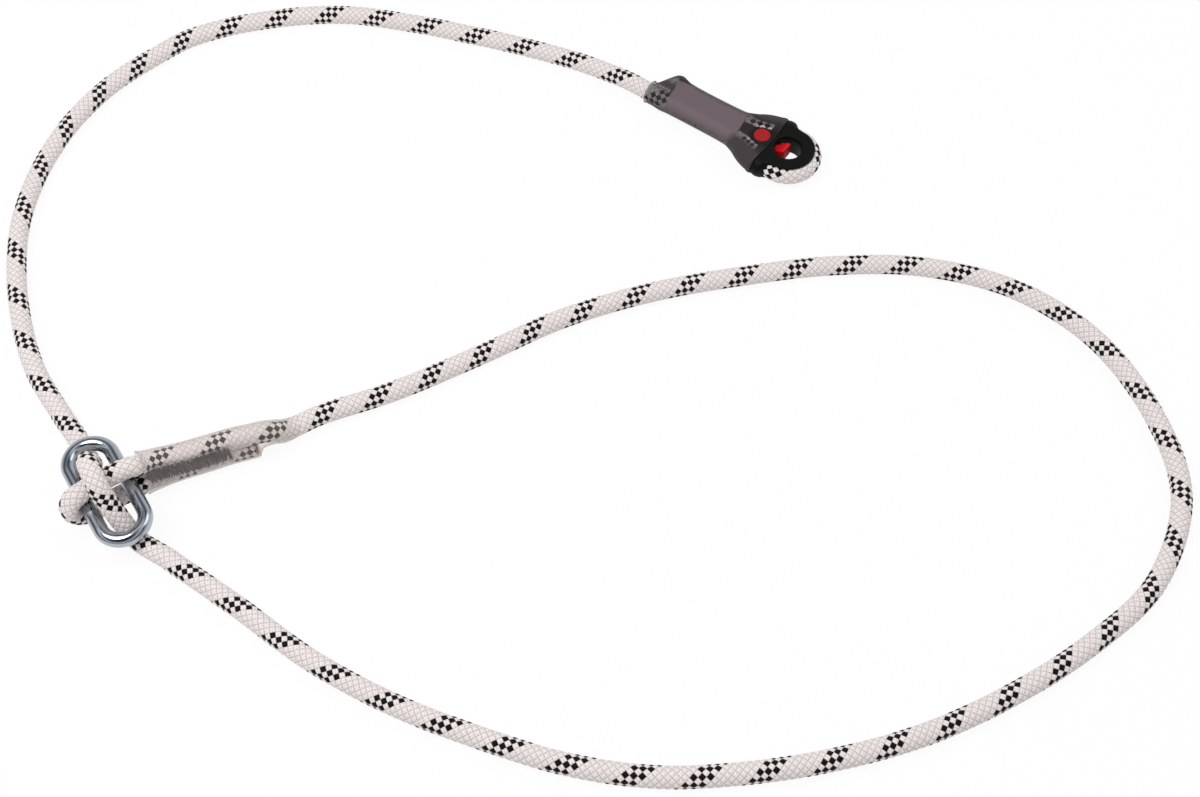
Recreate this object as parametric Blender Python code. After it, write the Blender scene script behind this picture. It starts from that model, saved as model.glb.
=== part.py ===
# Adjustable rope lanyard: rope, thimble eye with keeper, adjuster link, two sewn and sleeved splices
# Metres, +Z up, the floor at z = 0, the lanyard laid out flat on it
import bpy
from math import pi, sin, cos, radians, sqrt
from mathutils import Vector

for thing in list(bpy.data.objects):
    bpy.data.objects.remove(thing)

# Rope and the room left wherever two pieces touch
rope_d = 0.0105
fit = 0.0003
rope_r = rope_d / 2

# Thimble: eye, rope groove, cheeks, ears, neck
eye_r = 0.0077
eye_wall = 0.0010
groove_room = 0.00025
cheek_over = 0.0012
cheek_skin = 0.0013
edge_round = 0.0008
bead_proud = 0.0018
neck_start = -0.0156
neck_open = 0.0012
neck_reach = 0.0032
bead_start = -0.0113
end_bow = 0.0018
end_step = 0.0002
nose_tip = -0.0299
bight_from = 112.0
legs_join = -0.040
tail_end = -0.0800
lead_end = -0.0911

# Thimble splice sleeve, label and keeper
film = 0.0005
label_thick = 0.00015
label_far = 0.0040
head_r = 0.0048
head_thick = 0.0015
stem_r = 0.0021
stem_at = (-0.0173, 0.0003)
lug_half = 0.0039
lug_front = -0.0002
lug_top = 0.0063
thread_r = 0.0003
stitch_step = 0.0013

# Adjuster link and the clear sleeve
bar_d = 0.0076
over_x = -0.0008
wrap_press = 0.15
link_arc = 0.0112
link_half = 0.0190
link_z = 0.0156
clear_wall = 0.0005
sewn_over = 0.0017
sewn_deep = 0.00105
sewn_reach = 0.0042

# Sizes that follow
bar_r = bar_d / 2
groove_r = rope_r + groove_room
bight_r = eye_r + eye_wall + groove_r
cheek_r = bight_r + cheek_over
thimble_half = groove_r + cheek_skin
leg = rope_r + fit / 2
bead_round = thimble_half
bead_half = bight_r + groove_r + bead_proud
bead_core = bead_half - bead_round
hug_r = rope_r + label_thick + 2 * fit
neck_half = thimble_half - film - fit
wrap_r = bar_r + rope_r + fit


def material(name, rgb, metallic, rough):
    mat = bpy.data.materials.new(name)
    mat.use_nodes = True
    skin = mat.node_tree.nodes['Principled BSDF']
    skin.inputs['Base Color'].default_value = (*rgb, 1)
    skin.inputs['Metallic'].default_value = metallic
    skin.inputs['Roughness'].default_value = rough
    mat.diffuse_color = (*rgb, 1)
    return mat


rope_mat = material('rope_sheath', (0.72, 0.70, 0.69), 0, 0.85)
black_mat = material('black_moulding', (0.013, 0.012, 0.012), 0, 0.5)
red_mat = material('red_rubber', (0.62, 0.012, 0.016), 0, 0.45)
film_mat = material('grey_film', (0.16, 0.15, 0.15), 0, 0.35)
clear_mat = material('clear_film', (0.72, 0.69, 0.67), 0, 0.4)
label_mat = material('label_film', (0.34, 0.30, 0.32), 0, 0.5)
thread_mat = material('seam_thread', (0.16, 0.16, 0.18), 0, 0.8)
zinc_mat = material('zinc_plated_steel', (0.60, 0.63, 0.65), 1, 0.25)


def frame_at(name, x, y, z, turn):
    mount = bpy.data.objects.new(name, None)
    mount.location = (x, y, z)
    mount.rotation_euler = (0, 0, radians(turn))
    bpy.context.scene.collection.objects.link(mount)
    return mount


def put(name, data, mat, parent):
    thing = bpy.data.objects.new(name, data)
    thing.parent = parent
    bpy.context.scene.collection.objects.link(thing)
    data.materials.append(mat)
    return thing


# A solid skinned over rings of points, its ends capped or the last ring joined to the first
def solid(name, rings, mat, parent, closed=False, sharp=50):
    count = len(rings[0])
    verts = [tuple(p) for ring in rings for p in ring]
    faces = []
    last = len(rings) if closed else len(rings) - 1
    for i in range(last):
        a = i * count
        b = ((i + 1) % len(rings)) * count
        for k in range(count):
            n = (k + 1) % count
            faces.append((a + k, a + n, b + n, b + k))
    if not closed:
        faces.append(tuple(reversed(range(count))))
        faces.append(tuple(range((len(rings) - 1) * count, len(rings) * count)))
    mesh = bpy.data.meshes.new(name)
    mesh.from_pydata(verts, [], faces)
    mesh.update()
    mesh.shade_smooth()
    mesh.set_sharp_from_angle(angle=radians(sharp))
    return put(name, mesh, mat, parent)


def cutter(name, rings, parent, closed=False):
    tool = solid(name, rings, black_mat, parent, closed)
    tool.hide_render = True
    tool.display_type = 'WIRE'
    return tool


def combine(target, tool, operation, solver='EXACT'):
    step = target.modifiers.new(tool.name, 'BOOLEAN')
    step.operation = operation
    step.solver = solver
    step.object = tool


# A smooth curve through hand-placed points, twelve steps between each two of them
def fine_through(points):
    pts = [Vector(p) for p in points]
    ends = [2 * pts[0] - pts[1]] + pts + [2 * pts[-1] - pts[-2]]
    fine = [pts[0]]
    for i in range(1, len(ends) - 2):
        a, b, c, d = ends[i - 1:i + 3]
        ta = sqrt((b - a).length)
        tb = sqrt((c - b).length)
        tc = sqrt((d - c).length)
        mb = ((b - a) / ta - (c - a) / (ta + tb) + (c - b) / tb) * tb
        mc = ((c - b) / tb - (d - b) / (tb + tc) + (d - c) / tc) * tb
        for k in range(1, 13):
            t = k / 12
            fine.append(b * (2 * t ** 3 - 3 * t ** 2 + 1) + mb * (t ** 3 - 2 * t ** 2 + t)
                        + c * (3 * t ** 2 - 2 * t ** 3) + mc * (t ** 3 - t ** 2))
    return fine


def curve_through(points, step):
    return even(fine_through(points), step)


def even(fine, step):
    run = [0]
    for a, b in zip(fine, fine[1:]):
        run.append(run[-1] + (b - a).length)
    count = max(2, round(run[-1] / step))
    out = []
    j = 0
    for i in range(count + 1):
        want = run[-1] * i / count
        while j < len(run) - 2 and run[j + 1] < want:
            j += 1
        share = (want - run[j]) / (run[j + 1] - run[j])
        out.append(fine[j].lerp(fine[j + 1], min(1, share)))
    return out


def headings(path):
    out = []
    for i in range(len(path)):
        ahead = path[min(i + 1, len(path) - 1)]
        back = path[max(i - 1, 0)]
        out.append((ahead - back).normalized())
    return out


# Round rings along a path, square to it, with their first point towards face x heading
def round_rings(path, r, sides, face):
    rings = []
    for p, t in zip(path, headings(path)):
        side = face.cross(t).normalized()
        other = t.cross(side)
        rings.append([p + side * (r * cos(2 * pi * k / sides)) + other * (r * sin(2 * pi * k / sides))
                      for k in range(sides)])
    return rings


# A racetrack ring round two rope centres a and b: half a circle at each, joined by straights in four parts
def track(a, b, r, span, up, half):
    ring = []
    for k in range(half + 1):
        t = -pi / 2 + pi * k / half
        ring.append(b + span * (r * cos(t)) + up * (r * sin(t)))
    ring += [b.lerp(a, k / 4) + up * r for k in (1, 2, 3)]
    for k in range(half + 1):
        t = pi / 2 + pi * k / half
        ring.append(a + span * (r * cos(t)) + up * (r * sin(t)))
    ring += [a.lerp(b, k / 4) - up * r for k in (1, 2, 3)]
    return ring


def blend(rows, at):
    for low, high in zip(rows, rows[1:]):
        if at <= high[0]:
            share = (at - low[0]) / (high[0] - low[0])
            return [x + (y - x) * share for x, y in zip(low, high)]
    return list(rows[-1])


def cord(name, route, step, mat):
    fine = fine_through(route)
    path = even(fine, step)
    short = even(fine, 0.003)
    path = [path[0], short[1]] + path[1:-1] + [short[-2], path[-1]]
    line = bpy.data.curves.new(name, 'CURVE')
    line.dimensions = '3D'
    line.bevel_depth = rope_r
    line.bevel_resolution = 3
    line.use_fill_caps = True
    run = line.splines.new('POLY')
    run.points.add(len(path) - 1)
    for spot, p in zip(run.points, path):
        spot.co = (*p, 1)
    run.use_smooth = True
    return put(name, line, mat, None)


# Thimble end. Its frame: x along the splice towards the tip, y across, z up, zero at the eye's centre
thimble_at = frame_at('thimble_frame', -0.0094, 0.0067, thimble_half, -35.5)
across = Vector((0, 1, 0))
upward = Vector((0, 0, 1))


# The rope's line in the thimble: near leg, round the eye in the groove, far leg
def bight(start, stop):
    turn = radians(bight_from)
    path = [Vector((start, -leg, 0)), Vector((legs_join, -leg, 0))]
    first = Vector((bight_r * cos(turn), -bight_r * sin(turn), 0))
    reach = (first - path[1]).length
    leave = Vector((reach, 0, 0))
    arrive = Vector((sin(turn), cos(turn), 0)) * reach
    flare = []
    for k in range(1, 13):
        t = k / 12
        flare.append(path[1] * (2 * t ** 3 - 3 * t ** 2 + 1) + leave * (t ** 3 - 2 * t ** 2 + t)
                     + first * (3 * t ** 2 - 2 * t ** 3) + arrive * (t ** 3 - t ** 2))
    arc = []
    for k in range(1, 28):
        t = -turn + 2 * turn * k / 28
        arc.append(Vector((bight_r * cos(t), bight_r * sin(t), 0)))
    other = [Vector((p.x, -p.y, 0)) for p in reversed(flare)]
    straight = [path[0].lerp(path[1], k / 5) for k in range(5)]
    away = [Vector((legs_join, leg, 0)).lerp(Vector((stop, leg, 0)), k / 4) for k in range(5)]
    return straight + [path[1]] + flare + arc + other + away


def leg_at(x):
    line = [p for p in bight(lead_end, tail_end) if p.y > 0 and p.x < 0]
    for a, b in zip(line, line[1:]):
        if b.x <= x <= a.x:
            return a.y + (b.y - a.y) * (x - a.x) / (b.x - a.x)
    return leg


eye_rings = round_rings(bight(lead_end, tail_end), rope_r, 16, upward)
tip = Vector((tail_end, leg, 0))
for back, share in ((0.0007, 0.86), (0.0011, 0.55)):
    ring = eye_rings[-1 if back == 0.0007 else -2]
    eye_rings.append([tip - Vector((back, 0, 0)) + (p - tip) * share for p in ring])
solid('rope_thimble_eye', eye_rings, rope_mat, thimble_at)

# Grey sleeve past the rope's tail: place from the tail's end, far centre in half spacings, extra radius
tail_rows = [
    (-0.0103, -0.98, 0.0004),
    (-0.0093, -0.98, 0),
    (-0.0078, -0.81, 0),
    (-0.0060, -0.19, 0),
    (-0.0038, 0.59, 0.0001),
    (-0.0014, 1.19, 0.0003),
    (0.0012, 1.33, 0.0003),
    (0.0038, 1.22, 0.0001),
    (0.0075, 1.04, 0),
]
# and towards the eye: place, how far its centres have spread from the legs' spacing to the bead, bow of its end
flare_rows = [
    (legs_join, 0, 0),
    (-0.0340, 0.05, 0),
    (-0.0310, 0.16, 0),
    (-0.0275, 0.33, 0),
    (-0.0244, 0.53, 0),
    (-0.0213, 0.70, 0),
    (-0.0184, 0.82, 0.1),
    (-0.0155, 0.92, 0.4),
    (-0.0132, 1.01, 0.8),
    (bead_start - 0.0004, 0.95, 1),
]
sleeve_r = hug_r + film
sleeve_rows = [(tail_end + at, -leg, leg * far, sleeve_r + extra, 0) for at, far, extra in tail_rows]
for at, spread, bow in flare_rows:
    reach = leg + (bead_core - leg) * spread
    sleeve_rows.append((at, -reach, reach, sleeve_r + (thimble_half - sleeve_r) * min(1, 2 * spread), bow))


def bowed(y):
    return end_bow * max(0, 1 - (y / bead_half) ** 2)


def sleeve_ring(x, inset, half, narrow=0):
    row = blend(sleeve_rows, x)
    a = Vector((x, row[1] + narrow, 0))
    b = Vector((x, row[2] - narrow, 0))
    ring = track(a, b, row[3] - inset, across, upward, half)
    return [p + Vector((row[4] * bowed(p.y), 0, 0)) for p in ring]


places = [row[0] for row in sleeve_rows]
outside = [sleeve_ring(x, 0, 9) for x in places]
inside = [sleeve_ring(x, film, 9) for x in reversed(places)]
solid('thimble_sleeve', outside + inside, film_mat, thimble_at, closed=True)

# Thimble body: its outline from the bead round the tip, skinned over its thickness with rounded edges
outline = [(bead_start, bead_half - 0.0020), (bead_start + 0.0005, bead_half - 0.0005),
           (bead_start + 0.0016, bead_half), (bead_start + 0.0036, bead_half),
           (bead_start + 0.0050, bead_half - 0.0005), (bead_start + 0.0063, bead_half - 0.0019),
           (bead_start + 0.0078, bead_half - 0.0035), (bead_start + 0.0097, bead_half - 0.0050),
           (bead_start + 0.0119, bead_half - 0.0059)]
outline += [(cheek_r * cos(radians(a)), cheek_r * sin(radians(a))) for a in range(78, 0, -13)]
outline = [Vector((x, y, 0)) for x, y in outline]
outline = outline + [Vector((cheek_r, 0, 0))] + [Vector((p.x, -p.y, 0)) for p in reversed(outline)]
rim_points = len(outline)
outline += [Vector((bead_start + bowed(y), y, 0)) for y in (-0.0145, -0.0075, 0, 0.0075, 0.0145)]


def body_ring(z):
    over = max(0, abs(z) - (thimble_half - edge_round))
    inset = edge_round - sqrt(max(0, edge_round ** 2 - over ** 2))
    bulge = sqrt(max(0, 1 - (z / bead_round) ** 2))
    ring = []
    for i, p in enumerate(outline):
        a = outline[i - 1]
        b = outline[(i + 1) % len(outline)]
        run = (b - a).normalized()
        on_end = i == 0 or i >= rim_points - 1
        q = p.copy() if on_end else p + Vector((run.y, -run.x, 0)) * inset
        if abs(q.y) > bead_core:
            q.y = (bead_core + (abs(q.y) - bead_core) * bulge) * (1 if q.y > 0 else -1)
        end_x = bead_start + bowed(q.y) + inset
        q.x = end_x if on_end else max(q.x, end_x + end_step * min(i, rim_points - 1 - i))
        ring.append(q + Vector((0, 0, z)))
    return ring


levels = [thimble_half * sin(radians(a)) for a in (-90, -75, -58, -43, -27, -12, 12, 27, 43, 58, 75, 90)]
thimble = solid('thimble', [list(reversed(body_ring(z))) for z in levels], black_mat, thimble_at)


# The exact solver trips over the neck's thin flanks at some sizes
def carve(tool, how):
    combine(thimble, tool, how, 'MANIFOLD')


neck_rings = [sleeve_ring(x, film + fit, 9, neck_open) for x in (neck_start, -0.0135, bead_start - 0.0003)]
neck_rings.append([p + Vector((neck_reach, 0, 0)) for p in neck_rings[-1]])
carve(cutter('neck_body', neck_rings, thimble_at), 'UNION')

nose_half = neck_half - fit / 3
nose_rings = []
for x, half in ((nose_tip, 0.0034), (nose_tip + 0.0008, 0.0038), (-0.0240, 0.0040), (-0.0220, 0.0048),
                (-0.0200, 0.0059), (-0.0173, 0.0066), (-0.0130, 0.0072)):
    ease = 0.0008
    nose_rings.append([Vector((x, y, z)) for y, z in (
        (half - ease, -nose_half), (half, ease - nose_half), (half, nose_half - ease), (half - ease, nose_half),
        (ease - half, nose_half), (-half, nose_half - ease), (-half, ease - nose_half), (ease - half, -nose_half))])
carve(cutter('nose_body', nose_rings, thimble_at), 'UNION')

groove_path = bight(legs_join - 0.004, legs_join - 0.004)
carve(cutter('rope_groove', round_rings(groove_path, groove_r, 20, upward), thimble_at), 'DIFFERENCE')

eye_cut = []
for z, wide in ((-1.2, 1), (-1, 1), (-0.9, 0.45), (-0.7, 0.12), (-0.45, 0), (0.45, 0), (0.7, 0.12), (0.9, 0.45),
                (1, 1), (1.2, 1)):
    level = z * thimble_half if abs(z) >= 1 else (z / abs(z)) * (thimble_half - edge_round * (1 - abs(z)) * 1.8)
    r = eye_r + edge_round * wide
    eye_cut.append([Vector((r * cos(2 * pi * k / 32), r * sin(2 * pi * k / 32), level)) for k in range(32)])
carve(cutter('eye_hole', eye_cut, thimble_at), 'DIFFERENCE')


def disc(r, low, high, sides):
    return [[Vector((stem_at[0] + r * cos(2 * pi * k / sides), stem_at[1] + r * sin(2 * pi * k / sides), z))
             for k in range(sides)] for z in (low, high)]


def bar(x0, x1, half, low, high):
    return [[Vector((x, y, z)) for y, z in ((half, low), (half, high), (-half, high), (-half, low))]
            for x in (x0, x1)]


# Seat for the keeper: a round recess for its head, a hole for its stem, a slot through to the eye
seat = neck_half - head_thick
slot_low = -0.0018
slot_high = 0.0028
carve(cutter('head_recess', disc(head_r + fit, seat - fit, neck_half + 0.001, 28), thimble_at), 'DIFFERENCE')
carve(cutter('stem_hole', disc(stem_r + fit, 0, seat, 20), thimble_at), 'DIFFERENCE')
slot = bar(stem_at[0] - stem_r / 2 - fit, -0.006, stem_r + fit, slot_low, slot_high)
carve(cutter('tongue_slot', slot, thimble_at), 'DIFFERENCE')

# Keeper: head, stem, tongue and lug in one moulding
crown = disc(head_r, seat, neck_half - 0.0004, 28) + disc(head_r - 0.0005, neck_half, neck_half + 1, 28)[:1]
keeper = solid('keeper', crown, red_mat, thimble_at)
stem = disc(stem_r, 0.0005, seat + 0.0004, 20)
combine(keeper, cutter('stem_body', stem, thimble_at), 'UNION')
tongue = bar(stem_at[0] - stem_r / 2, -0.0055, stem_r, slot_low + fit, slot_high - fit)
combine(keeper, cutter('tongue_body', tongue, thimble_at), 'UNION')
lug_side = [(-0.0062, -0.0019), (lug_front, -0.0019), (lug_front, lug_top - 0.0008),
            (lug_front - 0.0005, lug_top - 0.0001),
            (lug_front - 0.0013, lug_top), (-0.0062, 0.0030)]
middle = Vector((-0.0032, 0, 0.0018))
lug_rings = []
for y, share in ((-1, 0.84), (-0.93, 0.95), (-0.8, 1), (0.8, 1), (0.93, 0.95), (1, 0.84)):
    lug_rings.append([middle + Vector((x - middle.x, 0, z - middle.z)) * share + Vector((0, y * lug_half, 0))
                      for x, z in lug_side])
combine(keeper, cutter('lug_body', lug_rings, thimble_at), 'UNION')


# Label: a thin film over the rope crowns, wrapped down the near leg's outer side, its ends cut aslant
def label_ring(x):
    near = leg_at(x + 0.0009)
    low = rope_r + fit
    high = low + label_thick
    ring = []
    for r in (low, high):
        line = [(label_far, r), ((label_far - near) / 2, r)]
        line += [(-near - r * sin(radians(a)), r * cos(radians(a))) for a in range(0, 91, 15)]
        ring += line if r == low else list(reversed(line))
    return [Vector((x - 0.11 * (y + 0.005), y, z)) for y, z in reversed(ring)]


label_places = (-0.0768, -0.064, -0.052, -0.041, -0.038, -0.036, -0.034, -0.032, -0.0302)
solid('thimble_label', [label_ring(x) for x in label_places], label_mat, thimble_at)


# A seam thread laid in strokes to and fro across the valley between the two legs
def seam(name, start, stop, reach, place, parent):
    path = []
    along = start
    sign = -1
    while along < stop:
        path.append(place(along, sign * reach))
        path.append(place(along + stitch_step * 0.35, -sign * reach))
        sign = -sign
        along += stitch_step
    rings = []
    for p, t in zip(path, headings(path)):
        face = place(0, 0, True)
        side = face.cross(t).normalized()
        other = t.cross(side)
        rings.append([p + side * (thread_r * cos(pi * k / 3)) + other * (thread_r * sin(pi * k / 3))
                      for k in range(6)])
    return solid(name, rings, thread_mat, parent)


thread_z = rope_r - fit / 3 - thread_r


def top_place(x, y, face=False):
    return upward if face else Vector((x, y, thread_z))


def under_place(x, y, face=False):
    return upward if face else Vector((x, y, -thread_z))


seam('thimble_needle_thread', -0.0740, -0.0440, 0.0020, top_place, thimble_at)
seam('thimble_bobbin_thread', -0.0740, -0.0440, 0.0020, under_place, thimble_at)

# Adjuster link: a round bar bent to a long ring, on its own frame at the hinge it rocks about
link_at = frame_at('link_frame', -0.3583, -0.2160, link_z, -58)
ring_path = []
for k in range(17):
    t = -pi / 2 + pi * k / 16
    ring_path.append(Vector((link_half + link_arc * cos(t), link_arc * sin(t), 0)))
for share in (0.25, 0.5, 0.75):
    ring_path.append(Vector((link_half - 2 * link_half * share, link_arc, 0)))
for k in range(17):
    t = pi / 2 + pi * k / 16
    ring_path.append(Vector((-link_half + link_arc * cos(t), link_arc * sin(t), 0)))
for share in (0.25, 0.5, 0.75):
    ring_path.append(Vector((-link_half + 2 * link_half * share, -link_arc, 0)))
bar_rings = []
for i, p in enumerate(ring_path):
    t = (ring_path[(i + 1) % len(ring_path)] - ring_path[i - 1]).normalized()
    side = upward.cross(t)
    bar_rings.append([p + side * (bar_r * cos(pi * k / 8)) + upward * (bar_r * sin(pi * k / 8))
                      for k in range(16)])
solid('steel_link', bar_rings, zinc_mat, link_at, closed=True)

# Adjuster splice. Its frame: x along the link, y across it towards the splice, z up from the floor
splice_at = frame_at('splice_frame', -0.3583, -0.2160, 0, -58)
# Upper leg and lower leg of the splice, place by place from the link outwards
pairs = [
    ((-0.0017, 0.0207, 0.0201), (0.0002, 0.0181, 0.0080)),
    ((-0.0013, 0.0300, 0.0176), (0.0011, 0.0280, 0.0076)),
    ((0.0008, 0.0410, 0.0161), (0.0021, 0.0389, 0.0064)),
    ((0.0029, 0.0532, 0.0151), (0.0045, 0.0510, 0.0062)),
    ((0.0051, 0.0645, 0.0146), (0.0066, 0.0625, 0.0062)),
    ((0.0083, 0.0762, 0.0141), (0.0096, 0.0746, 0.0062)),
]
merge = [
    ((0.0085, 0.0775, 0.0140), (0.0098, 0.0763, 0.0064)),
    ((0.0088, 0.0793, 0.0136), (0.0099, 0.0786, 0.0080)),
    ((0.0091, 0.0815, 0.0128), (0.0097, 0.0811, 0.0100)),
    ((0.0095, 0.0862, 0.0102), (0.0096, 0.0861, 0.0094)),
    ((0.0098, 0.0905, 0.0075), (0.0099, 0.0905, 0.0072)),
    ((0.0100, 0.0940, 0.00640), (0.0100, 0.0940, 0.00630)),
]
single = (0.0100, 0.0968, 0.00606)
eye_end = (0.0100, 0.0985, 0.00605)
strand_up = link_z + wrap_r
strand_low = link_z - wrap_r
half_turn = []
for a in range(0, 181, 15):
    r = wrap_r - wrap_press * rope_r * sin(radians(a))
    half_turn.append((0.0006, -link_arc - r * sin(radians(a)), link_z + r * cos(radians(a))))
climb = [(over_x, link_arc + wrap_r * cos(radians(a)), link_z + wrap_r * sin(radians(a))) for a in (56, 72, 88)]
upper = [eye_end, single] + [a for a, b in reversed(merge)] + [a for a, b in reversed(pairs)] + climb
upper += [(over_x, 0.0050, strand_up - 0.0001), (over_x, -0.0030, strand_up - 0.0001)]
lower = [(0.0004, -0.0030, strand_low), (0.0002, 0.0060, strand_low), (0.0002, 0.0113, strand_low - 0.0001),
         (0.0005, 0.0146, strand_low + 0.0006)] + [b for a, b in pairs]
eye_path = curve_through(upper + half_turn + lower, 0.0029)


def splice_axes(y):
    a, b = blend([(q[0][1], *q[0]) for q in pairs], y), blend([(q[1][1], *q[1]) for q in pairs], y)
    return Vector(a[1:]), Vector(b[1:])


def facing(y):
    a, b = splice_axes(max(0.0207, min(0.0746, y)))
    pair = (a - b).normalized()
    run = Vector((0.07, 1, -0.03)).normalized()
    away = run.cross(pair).normalized()
    away = away if away.x > 0 else -away
    share = max(0, min(1, (y - 0.004) / 0.018))
    return Vector((1, 0, 0)).lerp(away, share).normalized()


bends = headings(eye_path)
turn_at = min(range(len(eye_path)), key=lambda i: eye_path[i].y)
eye_rings = []
for i, (p, t) in enumerate(zip(eye_path, bends)):
    face = facing(p.y)
    side = face.cross(t).normalized()
    other = t.cross(side)
    rest = eye_path[turn_at:] if i < turn_at else eye_path[:turn_at]
    near = min((q - p).length for q in rest) if p.y > 0.012 else 1
    flat = near / 2 - fit / 2
    sewn = 0.019 < p.y < 0.066
    pressed = wrap_press * max(0, -link_arc - p.y) / wrap_r
    ring = []
    for k in range(18):
        x = rope_r * cos(pi * k / 9) * (1 - pressed)
        h = rope_r * sin(pi * k / 9) * (1 + pressed)
        x = min(x, flat)
        if sewn and x > -sewn_over:
            top = max(rope_r - sewn_deep, rope_r - sewn_deep * (x + sewn_over) / 0.0012)
            h = max(-top, min(top, h))
        ring.append(p + side * x + other * h)
    eye_rings.append(ring)
end = eye_path[-1]
for ahead, share in ((0.0006, 0.86), (0.0010, 0.55)):
    eye_rings.append([end + bends[-1] * ahead + (q - end) * share for q in eye_rings[len(eye_path) - 1]])
solid('rope_adjuster_eye', eye_rings, rope_mat, splice_at)

# Clear sleeve over both legs, closing to one rope past the tail
far_up = fine_through([climb[1], climb[0]] + [a for a, b in pairs + merge] + [single, eye_end])[:-12]
far_low = fine_through([lower[2], lower[3]] + [b for a, b in pairs + merge] + [single, eye_end])[:-12]
first = 21
runs = headings([(a + b) / 2 for a, b in zip(far_up, far_low)])[first:]
runs[:9] = [runs[9]] * 9
steps = range(first, len(far_up))
legs_up = [far_up[i] for i in steps]
runs_up = [headings(far_up)[i] for i in steps]
low_steps = [i + round(max(0, 4 - (i - first) / 3)) for i in steps]
legs_low = [far_low[i] for i in low_steps]
runs_low = [headings(far_low)[i] for i in low_steps]
spans = []
for a, b, t in zip(legs_up, legs_low, runs):
    pair = a - b
    if pair.length < 0.0008:
        pair = spans[-1]
    spans.append((pair - t * pair.dot(t)).normalized())


def clear_ring(i, r):
    away = spans[i].cross(runs[i])
    r += fit * max(0, 3 - i / 6)
    ring = []
    for centre, t, sign in ((legs_low[i], runs_low[i], 1), (legs_up[i], runs_up[i], -1)):
        stretch = r / max(0.8, abs(t.dot(runs[i])))
        for k in range(11):
            turn = pi * k / 10 - pi / 2
            ring.append(centre - spans[i] * (sign * stretch * cos(turn)) + away * (sign * r * sin(turn)))
    return ring


clear_in = rope_r + fit
clear_out = clear_in + clear_wall
stations = list(range(0, 66, 6)) + list(range(66, len(runs), 4))
outside = [clear_ring(i, clear_out) for i in stations]
inside = [clear_ring(i, clear_in) for i in reversed(stations)]
solid('adjuster_sleeve', outside + inside, clear_mat, splice_at, closed=True)


def seam_spot(y, over, lift):
    a, b = splice_axes(y)
    span = (a - b).normalized()
    run = Vector((0.07, 1, -0.03)).normalized()
    away = run.cross(span).normalized()
    away = away if away.x > 0 else -away
    return (a + b) / 2 + span * over + away * lift


def front_place(y, over, face=False):
    return Vector((1, 0, 0)) if face else seam_spot(y, over, thread_z)


def rear_place(y, over, face=False):
    return Vector((1, 0, 0)) if face else seam_spot(y, over, -thread_z - fit / 2)


seam('adjuster_needle_thread', 0.0220, 0.0610, sewn_reach, front_place, splice_at)
seam('adjuster_bobbin_thread', 0.0220, 0.0610, sewn_reach, rear_place, splice_at)

# Running rope: under one end of the link, up through it, over the eye's strand, down and out
over_r = 2 * rope_r + 0.0005
under_r = wrap_r + 0.0010
end_x = link_half + link_arc
over_z = strand_up
arc_up = [(end_x - under_r * sin(radians(a)), link_z - under_r * cos(radians(a))) for a in (0, 15, 30, 45, 60)]
arc_over = [(over_x + over_r * sin(radians(a)), over_z + over_r * cos(radians(a)))
            for a in (-60, -40, -20, 0, 20, 40, 60)]
sway = [(-0.0626, -0.0015), (-0.0400, 0), (-0.0190, -0.0002), (-0.0100, -0.0019), (0, -0.0028), (0.0080, -0.0031),
        (0.0125, -0.0027), (0.0183, -0.0008), (0.0240, 0.0010), (0.0302, 0.0033), (0.0390, 0.0077), (0.0445, 0.0106),
        (0.0473, 0.0117)]
run = [(-0.0626, rope_r), (-0.0510, rope_r), (-0.0400, rope_r)] + [(-x, z) for x, z in arc_up] + arc_over
run += list(reversed(arc_up)) + [(0.0390, rope_r), (0.0445, rope_r), (0.0473, rope_r)]
run = [(x, blend(sway, x)[1], z) for x, z in run]
run_path = curve_through(run, 0.0036)
solid('rope_in_adjuster', round_rings(run_path, rope_r, 12, Vector((0, 1, 0))), rope_mat, splice_at)

# Free rope from the thimble to the adjuster, then round the loop from the clear sleeve to the adjuster
lead_route = [
    (-0.0870, 0.0554, 0.0068), (-0.0985, 0.0636, 0.0066), (-0.1110, 0.0710, 0.0061), (-0.1310, 0.0810, 0.0055),
    (-0.1520, 0.0890, rope_r), (-0.1730, 0.0960, rope_r), (-0.1940, 0.1020, rope_r), (-0.2150, 0.1080, rope_r),
    (-0.2370, 0.1130, rope_r), (-0.2580, 0.1170, rope_r), (-0.2800, 0.1180, rope_r), (-0.3020, 0.1160, rope_r),
    (-0.3230, 0.1120, rope_r), (-0.3430, 0.1060, rope_r), (-0.3620, 0.0970, rope_r), (-0.3790, 0.0830, rope_r),
    (-0.3950, 0.0680, rope_r), (-0.4090, 0.0500, rope_r), (-0.4200, 0.0300, rope_r), (-0.4280, 0.0080, rope_r),
    (-0.4330, -0.0150, rope_r), (-0.4350, -0.0400, rope_r), (-0.4330, -0.0640, rope_r), (-0.4280, -0.0890, rope_r),
    (-0.4210, -0.1120, rope_r), (-0.4120, -0.1340, rope_r), (-0.4010, -0.1523, rope_r), (-0.3930, -0.1634, rope_r),
]
cord('rope_lead', lead_route, 0.0240, rope_mat)
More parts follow.
